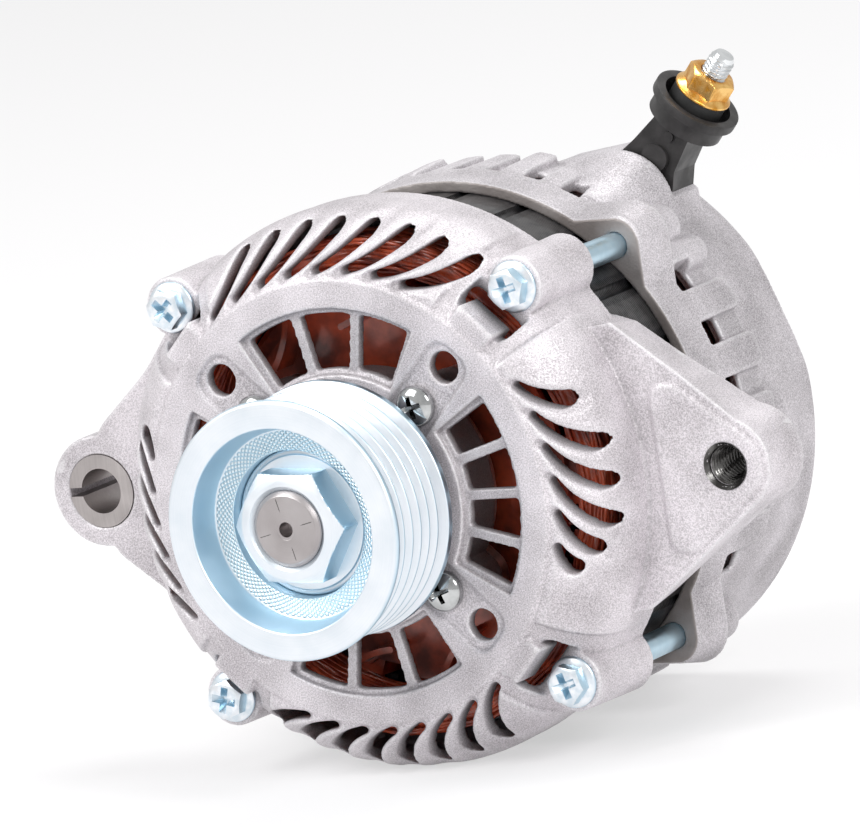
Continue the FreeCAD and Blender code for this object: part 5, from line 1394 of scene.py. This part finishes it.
@dataclass
class FrontFasteners:
    """The through bolts and the retaining screws."""

    bolt_at: float = 44.1
    seat_y: float = 26.2
    flange_r: float = 5.8
    flats: float = 8.0
    bolt_height: float = 4.4
    bolt_cross: tuple[float, float, float] = (5.9, 1.75, 2.2)
    shank_r: float = 3.0
    shank_end: float = 90.5
    thread_root: float = 2.55
    thread_crest: float = 2.98
    thread_length: float = 16.0
    screw_at: float = 29.2
    screw_seat: float = 17.3
    screw_r: float = 4.6
    screw_height: float = 3.2
    screw_dome: float = 2.1
    screw_cross: tuple[float, float, float] = (5.4, 1.2, 2.4)
    first_turn: float = 13.0
    turn_step: float = 31.0

    def build(self, looks: Looks) -> None:
        """Make both sets.

        Args:
            looks: The finishes by name.
        """
        bolt_out = self.bolt_at * math.sqrt(2)
        for node, look, plain, out in (("through_bolts", "zinc_bolt", self.bolt(), bolt_out),
                                       ("retainer_screws", "screw", self.screw(), self.screw_at)):
            copies = []
            for index, angle in enumerate(QUARTERS):
                x, z = polar(out, math.radians(angle))
                twist = Matrix.Rotation(math.radians(self.first_turn + self.turn_step * index), 4, "Z")
                copies.append(placed(plain.copy(), Matrix.Translation((x, 0, z)) @ SHAFTWARD @ twist))
            plain.free()
            show(f"{node}_dressed", merged(copies), looks[look], Body.HOUSING, [node])

    def bolt(self) -> Form:
        """A flanged bolt with a cross recess, its seat at height -seat_y.

        Returns:
            The bolt along +Z.
        """
        seat = -self.seat_y
        under = seat + 0.02
        top = seat + self.bolt_height
        thread_start = self.thread_length - self.shank_end
        head = hexagon_head(self.flats, seat + 0.8, top, self.flats / 2 - 0.35, 120)
        head = carved(head, cross_recess(*self.bolt_cross, top))
        flange = soften([(0.0, seat + 1.35), (4.3, seat + 1.35), (5.4, seat + 0.95),
                         (self.flange_r, seat + 0.6), (self.flange_r, under), (self.shank_r, under)], 0.25)
        shank = [(self.shank_r, under), (self.shank_r - 0.04, thread_start)]
        tail = threaded(self.thread_root, self.thread_crest, 1.0, -self.shank_end, thread_start, 32, 6)
        return merged([head, turned(flange, 72), turned(shank, 32), tail])

    def screw(self) -> Form:
        """A domed screw with a cross recess, its seat at height -screw_seat.

        Returns:
            The screw along +Z.
        """
        seat = -self.screw_seat
        under = seat + 0.02
        top = seat + self.screw_height
        outline = [(0.0, top)]
        for turn in turns(32)[1:9]:
            outline.append((self.screw_r * math.sin(turn), top - self.screw_dome * (1 - math.cos(turn))))
        outline += [(self.screw_r, seat + 0.2), (self.screw_r - 0.2, under), (0.0, under)]
        return carved(turned(outline, 72), cross_recess(*self.screw_cross, top))


@dataclass
class Terminal:
    """The output stud in its insulating stand, on a line that passes beside the shaft."""

    angle: float = 48.0
    offset: float = 10.2
    y: float = 107.5
    cup_top: float = 84.3
    cup_r: float = 8.9
    rim_r: float = 10.2
    rim_height: float = 2.1
    bore_r: float = 8.1
    nut_at: float = 86.3
    nut_height: float = 5.6
    nut_flats: float = 10.0
    nut_turn: float = 12.0
    nut_bore_r: float = 2.7
    nut_mouth_r: float = 3.5
    flange_in: float = 3.1
    flange_r: float = 6.75
    tip: float = 97.2
    stud_r: float = 3.0
    thread_root: float = 2.45
    head_r: float = 4.3
    head_at: float = 46.0
    head_height: float = 2.4

    def build(self, looks: Looks) -> None:
        """Make the pieces with their finishes.

        Args:
            looks: The finishes by name.
        """
        turn = math.radians(self.angle)
        beside = Vector((-math.sin(turn) * self.offset, self.y, math.cos(turn) * self.offset))
        frame = Matrix.Translation(beside) @ Matrix.Rotation(math.radians(90) - turn, 4, "Y")
        show("terminal_stud_threaded", placed(self.stud(), frame), looks["plated"], Body.HOUSING,
             ["terminal_stud"])
        show("terminal_nut_dressed", placed(self.nut(), frame), looks["brass"], Body.HOUSING,
             ["terminal_nut"])
        show("terminal_cup_lip", placed(self.lip(), frame), looks["stand"], Body.HOUSING)

    def stud(self) -> Form:
        """The stud with its round head, plain shank and threaded end.

        Returns:
            The stud along +Z.
        """
        start = self.nut_at - 4.0
        end = self.tip - 0.5
        head_top = self.head_at + self.head_height
        below = soften([(0.0, self.head_at), (self.head_r, self.head_at), (self.head_r, head_top),
                        (self.stud_r, head_top), (self.stud_r, start - 0.5), (self.thread_root, start)], 0.25)
        thread = threaded(self.thread_root, self.stud_r, 1.0, start, end)
        cap = turned([(self.thread_root, end), (2.15, self.tip), (0.0, self.tip)], 48)
        return merged([turned(below, 48), thread, cap])

    def nut(self) -> Form:
        """The flanged hexagon nut.

        Returns:
            The bored nut along +Z.
        """
        low = self.nut_at
        top = low + self.nut_height
        body = hexagon_head(self.nut_flats, low + 0.9, top, self.nut_flats / 2 - 0.35, 180)
        placed(body, Matrix.Rotation(math.radians(self.nut_turn), 4, "Z"))
        bore = turned([(self.nut_bore_r, low - 2), (self.nut_bore_r, top - 0.6),
                       (self.nut_mouth_r, top + 0.2), (self.nut_mouth_r, top + 2), (0, top + 2),
                       (0, low - 2)], 48, True)
        flange = soften([(self.flange_in, low + 1.7), (5.0, low + 1.7), (6.2, low + 0.95),
                         (self.flange_r, low + 0.65), (self.flange_r, low + 0.05),
                         (self.flange_in, low + 0.05)], 0.2)
        return merged([carved(body, bore), turned(flange, 96, True)])

    def lip(self) -> Form:
        """The rounded rim of the cup, a hair over the plain one.

        Returns:
            The turned rim.
        """
        top = self.cup_top
        under = top - self.rim_height
        rim_r = self.rim_r + 0.03
        outline = soften([(self.bore_r, top - 3.0), (self.bore_r, top + 0.03), (rim_r, top + 0.03),
                          (rim_r, under - 0.03), (self.cup_r + 0.02, under - 0.3)], 0.35, 4)
        return turned(outline, 128)


@dataclass
class EndTurns:
    """Bundles of varnished wire over the plain rings of the stator's winding."""

    inner_r: float = 48.6
    outer_r: float = 55.4
    wire_r: float = 0.46
    base: float = 46.4
    tip: float = 32.6
    rear_base: float = 77.6
    rear_tip: float = 91.4
    layers: int = 14
    tip_wires: int = 6
    weave: float = 0.25
    waves: tuple[int, ...] = (16, 24, 24, 32)
    swing: Point = (0.2, 0.55)
    steps: int = 192
    sides: int = 6
    seed: int = 7

    def build(self, looks: Looks) -> None:
        """Wind the wires at both ends.

        Args:
            looks: The finishes by name.
        """
        chance = random.Random(self.seed)
        # The rear end turns take the darker copy of the varnish, as painted shade.
        for end, base, tip, look in (("front", self.base, self.tip, "varnish"),
                                     ("rear", self.rear_base, self.rear_tip, "varnish_dull")):
            whole = bmesh.new()
            for radius, y in self.places(base, tip):
                self.wire(whole, radius, y, chance)
            show(f"stator_end_turns_{end}", whole, looks[look], Body.HOUSING, crease=80)

    def places(self, base: float, tip: float) -> list[Point]:
        """Where the wires lie round the ring's cross-section.

        Args:
            base: Where the ring starts, along the shaft.
            tip: Where it ends.

        Returns:
            The radius and the place along the shaft of each wire.
        """
        spots = []
        for index in range(self.layers):
            y = base + (tip - base) * index / (self.layers - 1)
            spots.append((self.outer_r, y))
            if index % 2 == 0:
                spots.append((self.inner_r, y))
        return spots + [(self.inner_r + 1.0 + index, tip) for index in range(self.tip_wires)]

    def wire(self, whole: Form, radius: float, y: float, chance: random.Random) -> None:
        """Add one loop of wire that weaves a little as it goes round.

        Args:
            whole: The mesh that it joins.
            radius: Its distance from the shaft's axis.
            y: Its place along the shaft.
            chance: The seeded source of its small irregularities.
        """
        phase = chance.uniform(0, FULL_TURN)
        waves = chance.choice(self.waves)
        swing = chance.uniform(*self.swing)
        rings = []
        for angle in turns(self.steps):
            out = radius + self.weave * math.sin(waves * angle + phase)
            along = y + swing * math.sin(waves / 2 * angle + phase * 2)
            ring = []
            for turn in turns(self.sides):
                across, lift = polar(self.wire_r, turn)
                x, z = polar(out + across, angle)
                ring.append(whole.verts.new((x, along + lift, z)))
            rings.append(ring)
        skinned(whole, rings, looped=True)


@dataclass
class EarThread:
    """The thread in the adjusting ear's hole."""

    x: float = 84.1
    face_y: float = 36.5
    depth: float = 15.5
    wall_r: float = 4.45
    mouth_r: float = 5.3
    pitch: float = 1.25
    thread_depth: float = 0.5

    def build(self, looks: Looks) -> None:
        """Make the threaded lining and its mouth.

        Args:
            looks: The finishes by name.
        """
        face = -self.face_y
        lining = threaded(self.wall_r + 0.02, self.wall_r - self.thread_depth, self.pitch, face - self.depth,
                          face - 0.7, 56, 8)
        mouth = turned([(self.mouth_r, face + 0.12), (self.wall_r - 0.05, face - 0.8)], 56)
        whole = placed(merged([lining, mouth]), Matrix.Translation((self.x, 0, 0)) @ SHAFTWARD)
        # The lining and its mouth take the near-black thread finish, as painted shade in the hole.
        show("adjuster_thread_lining", whole, looks["thread"], Body.HOUSING)


@dataclass
class BrushSpring:
    """A spring of round wire, wound at one length in the imported spring's box. The real spring shortens as
    its brush is pushed in.
    """

    end: str
    wire_r: float = 0.3
    turns: int = 6
    travel: float = 6.15
    around: int = 28
    sides: int = 8

    def build(self, nodes: Nodes, looks: Looks) -> None:
        """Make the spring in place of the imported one.

        Args:
            nodes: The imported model's objects by name.
            looks: The finishes by name.
        """
        node = nodes[f"brush_spring_{self.end}"]
        corners = [node.matrix_world @ Vector(corner) / MM for corner in node.bound_box]
        low = Vector([min(corner[axis] for corner in corners) for axis in range(3)])
        high = Vector([max(corner[axis] for corner in corners) for axis in range(3)])
        name = f"brush_spring_{self.end}_coiled"
        piece = show(name, self.coil(low, high), looks["steel"], Body.HOUSING, [node.name])
        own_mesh(piece)

    def coil(self, low: Vector, high: Vector) -> Form:
        """The wire wound in a box.

        Args:
            low: The box's lowest corner.
            high: Its highest corner.

        Returns:
            The wire with flat ends.
        """
        made = bmesh.new()
        middle = (low + high) / 2
        radius = (high.x - low.x) / 2 - self.wire_r
        rise = high.z - low.z - 2 * self.wire_r
        steps = self.turns * self.around
        rings = []
        for step in range(steps + 1):
            out = Vector((*polar(1.0, FULL_TURN * step / self.around), 0))
            spot = Vector((middle.x, middle.y, low.z + self.wire_r + rise * step / steps)) + out * radius
            ring = []
            for tilt in turns(self.sides):
                across, lift = polar(self.wire_r, tilt)
                ring.append(made.verts.new(spot + out * across + Vector((0, 0, lift))))
            rings.append(ring)
        return skinned(made, rings, ends=True)


# The picture


@dataclass
class Studio:
    """The white floor, the soft light and the camera of the photograph.

    The camera's place is in millimetres. A lamp is its name, its place in metres, its size and its power.
    """

    lens: float = 523.82
    eye: tuple[float, float, float] = (1454.442, -2260.730, 440.548)
    right: tuple[float, float, float] = (0.8494998, 0.5058071, -0.1500310)
    down: tuple[float, float, float] = (-0.0471397, -0.2104650, -0.9764642)
    ahead: tuple[float, float, float] = (-0.5254788, 0.8365785, -0.1549464)
    ambient: float = 0.46
    mirrored: float = 0.72
    floor_half: float = 6.0
    floor_colour: Colour = (0.93, 0.92, 0.93)
    floor_glow: float = 0.55
    lamps: tuple[tuple[str, tuple[float, float, float], float, float], ...] = (
        ("key", (-0.9, -1.3, 1.5), 1.3, 30.0),
        ("side", (1.6, -0.6, 1.0), 0.7, 18.0),
        ("top", (0.1, 0.6, 1.8), 0.9, 13.0))

    def build(self, lowest: float) -> None:
        """Make the world, the floor, the lamps and the camera.

        Args:
            lowest: The floor's height in metres.
        """
        self.world()
        self.floor(lowest)
        for name, place, size, power in self.lamps:
            self.lamp(name, place, size, power)
        self.camera()

    def camera(self) -> None:
        """Place the camera where the photograph was taken from."""
        data = bpy.data.cameras.new("camera")
        data.sensor_width = 36.0
        data.lens = self.lens
        data.clip_start = 0.1
        data.clip_end = 20.0
        camera = linked("camera", data)
        columns = Matrix((Vector(self.right), -Vector(self.down), -Vector(self.ahead))).transposed()
        camera.matrix_world = Matrix.Translation(Vector(self.eye) * MM) @ columns.to_4x4()
        bpy.context.scene.camera = camera

    def world(self) -> None:
        """White for what the camera and reflections see, and a plain level for the light."""
        world = bpy.data.worlds.new("studio")
        bpy.context.scene.world = world
        world.use_nodes = True
        tree = Tree(world.node_tree)
        path = tree.add("ShaderNodeLightPath").outputs
        seen = tree.calc("MAXIMUM", path["Is Camera Ray"], path["Is Transmission Ray"])
        strength = tree.calc("MAXIMUM", seen, tree.times(path["Is Glossy Ray"], self.mirrored))
        background = world.node_tree.nodes["Background"]
        background.inputs["Color"].default_value = (1, 1, 1, 1)
        tree.join(tree.calc("MAXIMUM", strength, self.ambient), background.inputs["Strength"])

    def floor(self, lowest: float) -> None:
        """A wide white floor that keeps the part's shadow.

        Args:
            lowest: Its height in metres.
        """
        mesh = bpy.data.meshes.new("floor")
        half = self.floor_half
        corners = [(-half, -half, lowest), (half, -half, lowest), (half, half, lowest), (-half, half, lowest)]
        mesh.from_pydata(corners, [], [(0, 1, 2, 3)])
        material = bpy.data.materials.new("floor_white")
        material.use_nodes = True
        tree = Tree(material.node_tree)
        material.node_tree.nodes.remove(material.node_tree.nodes["Principled BSDF"])
        path = tree.add("ShaderNodeLightPath").outputs
        plain = tree.add("ShaderNodeBsdfDiffuse", {"Color": (*self.floor_colour, 1)})
        glow = tree.add("ShaderNodeEmission", {"Color": (1, 1, 1, 1), "Strength": 1.0})
        seen = tree.calc("MAXIMUM", path["Is Camera Ray"], path["Is Glossy Ray"])
        share = tree.times(seen, self.floor_glow)
        mixed = tree.add("ShaderNodeMixShader", {0: share, 1: plain.outputs[0], 2: glow.outputs[0]})
        tree.join(mixed.outputs[0], material.node_tree.nodes["Material Output"].inputs[0])
        mesh.materials.append(material)
        floor = linked("floor", mesh)
        floor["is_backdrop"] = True

    def lamp(self, name: str, place: tuple[float, float, float], size: float, power: float) -> None:
        """Add one square lamp that faces the part.

        Args:
            name: Its name.
            place: Where it stands, in metres.
            size: The length of its side, in metres.
            power: Its power in watts.
        """
        data = bpy.data.lights.new(name, "AREA")
        data.size = size
        data.energy = power
        lamp = linked(name, data)
        lamp.location = place
        lamp.rotation_euler = (Vector((0, 0.05, 0)) - Vector(place)).to_track_quat("-Z", "Y").to_euler()


def dress_nodes(nodes: Nodes, looks: Looks) -> None:
    """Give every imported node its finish.

    Args:
        nodes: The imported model's objects by name.
        looks: The finishes by name.
    """
    for look, names in NODE_FINISHES.items():
        for name in names:
            nodes[name].data.materials.clear()
            nodes[name].data.materials.append(looks[look])


def main() -> None:
    """Build the dressed part and its picture."""
    logging.basicConfig(level=logging.INFO, format="%(message)s")
    scene = bpy.context.scene
    for leftover in list(scene.objects):
        bpy.data.objects.remove(leftover)
    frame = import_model()
    cad_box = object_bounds()
    looks = {finish.name: finish.build() for finish in FINISHES}
    dress_nodes(frame["nodes"], looks)
    Studio().build(cad_box[0].z - 0.0002)
    FrontCasting("front_bracket", "front_casting").build(frame["nodes"], looks["casting"])
    RearCasting("rear_bracket", "rear_casting").build(frame["nodes"], looks["rear_casting"])
    for group in (PulleyGroup(), FrontFasteners(), Terminal(), EndTurns(), EarThread()):
        group.build(looks)
    for end in ("front", "rear"):
        BrushSpring(end).build(frame["nodes"], looks)
    scene.view_settings.view_transform = "Standard"


if __name__ == "__main__":
    main()
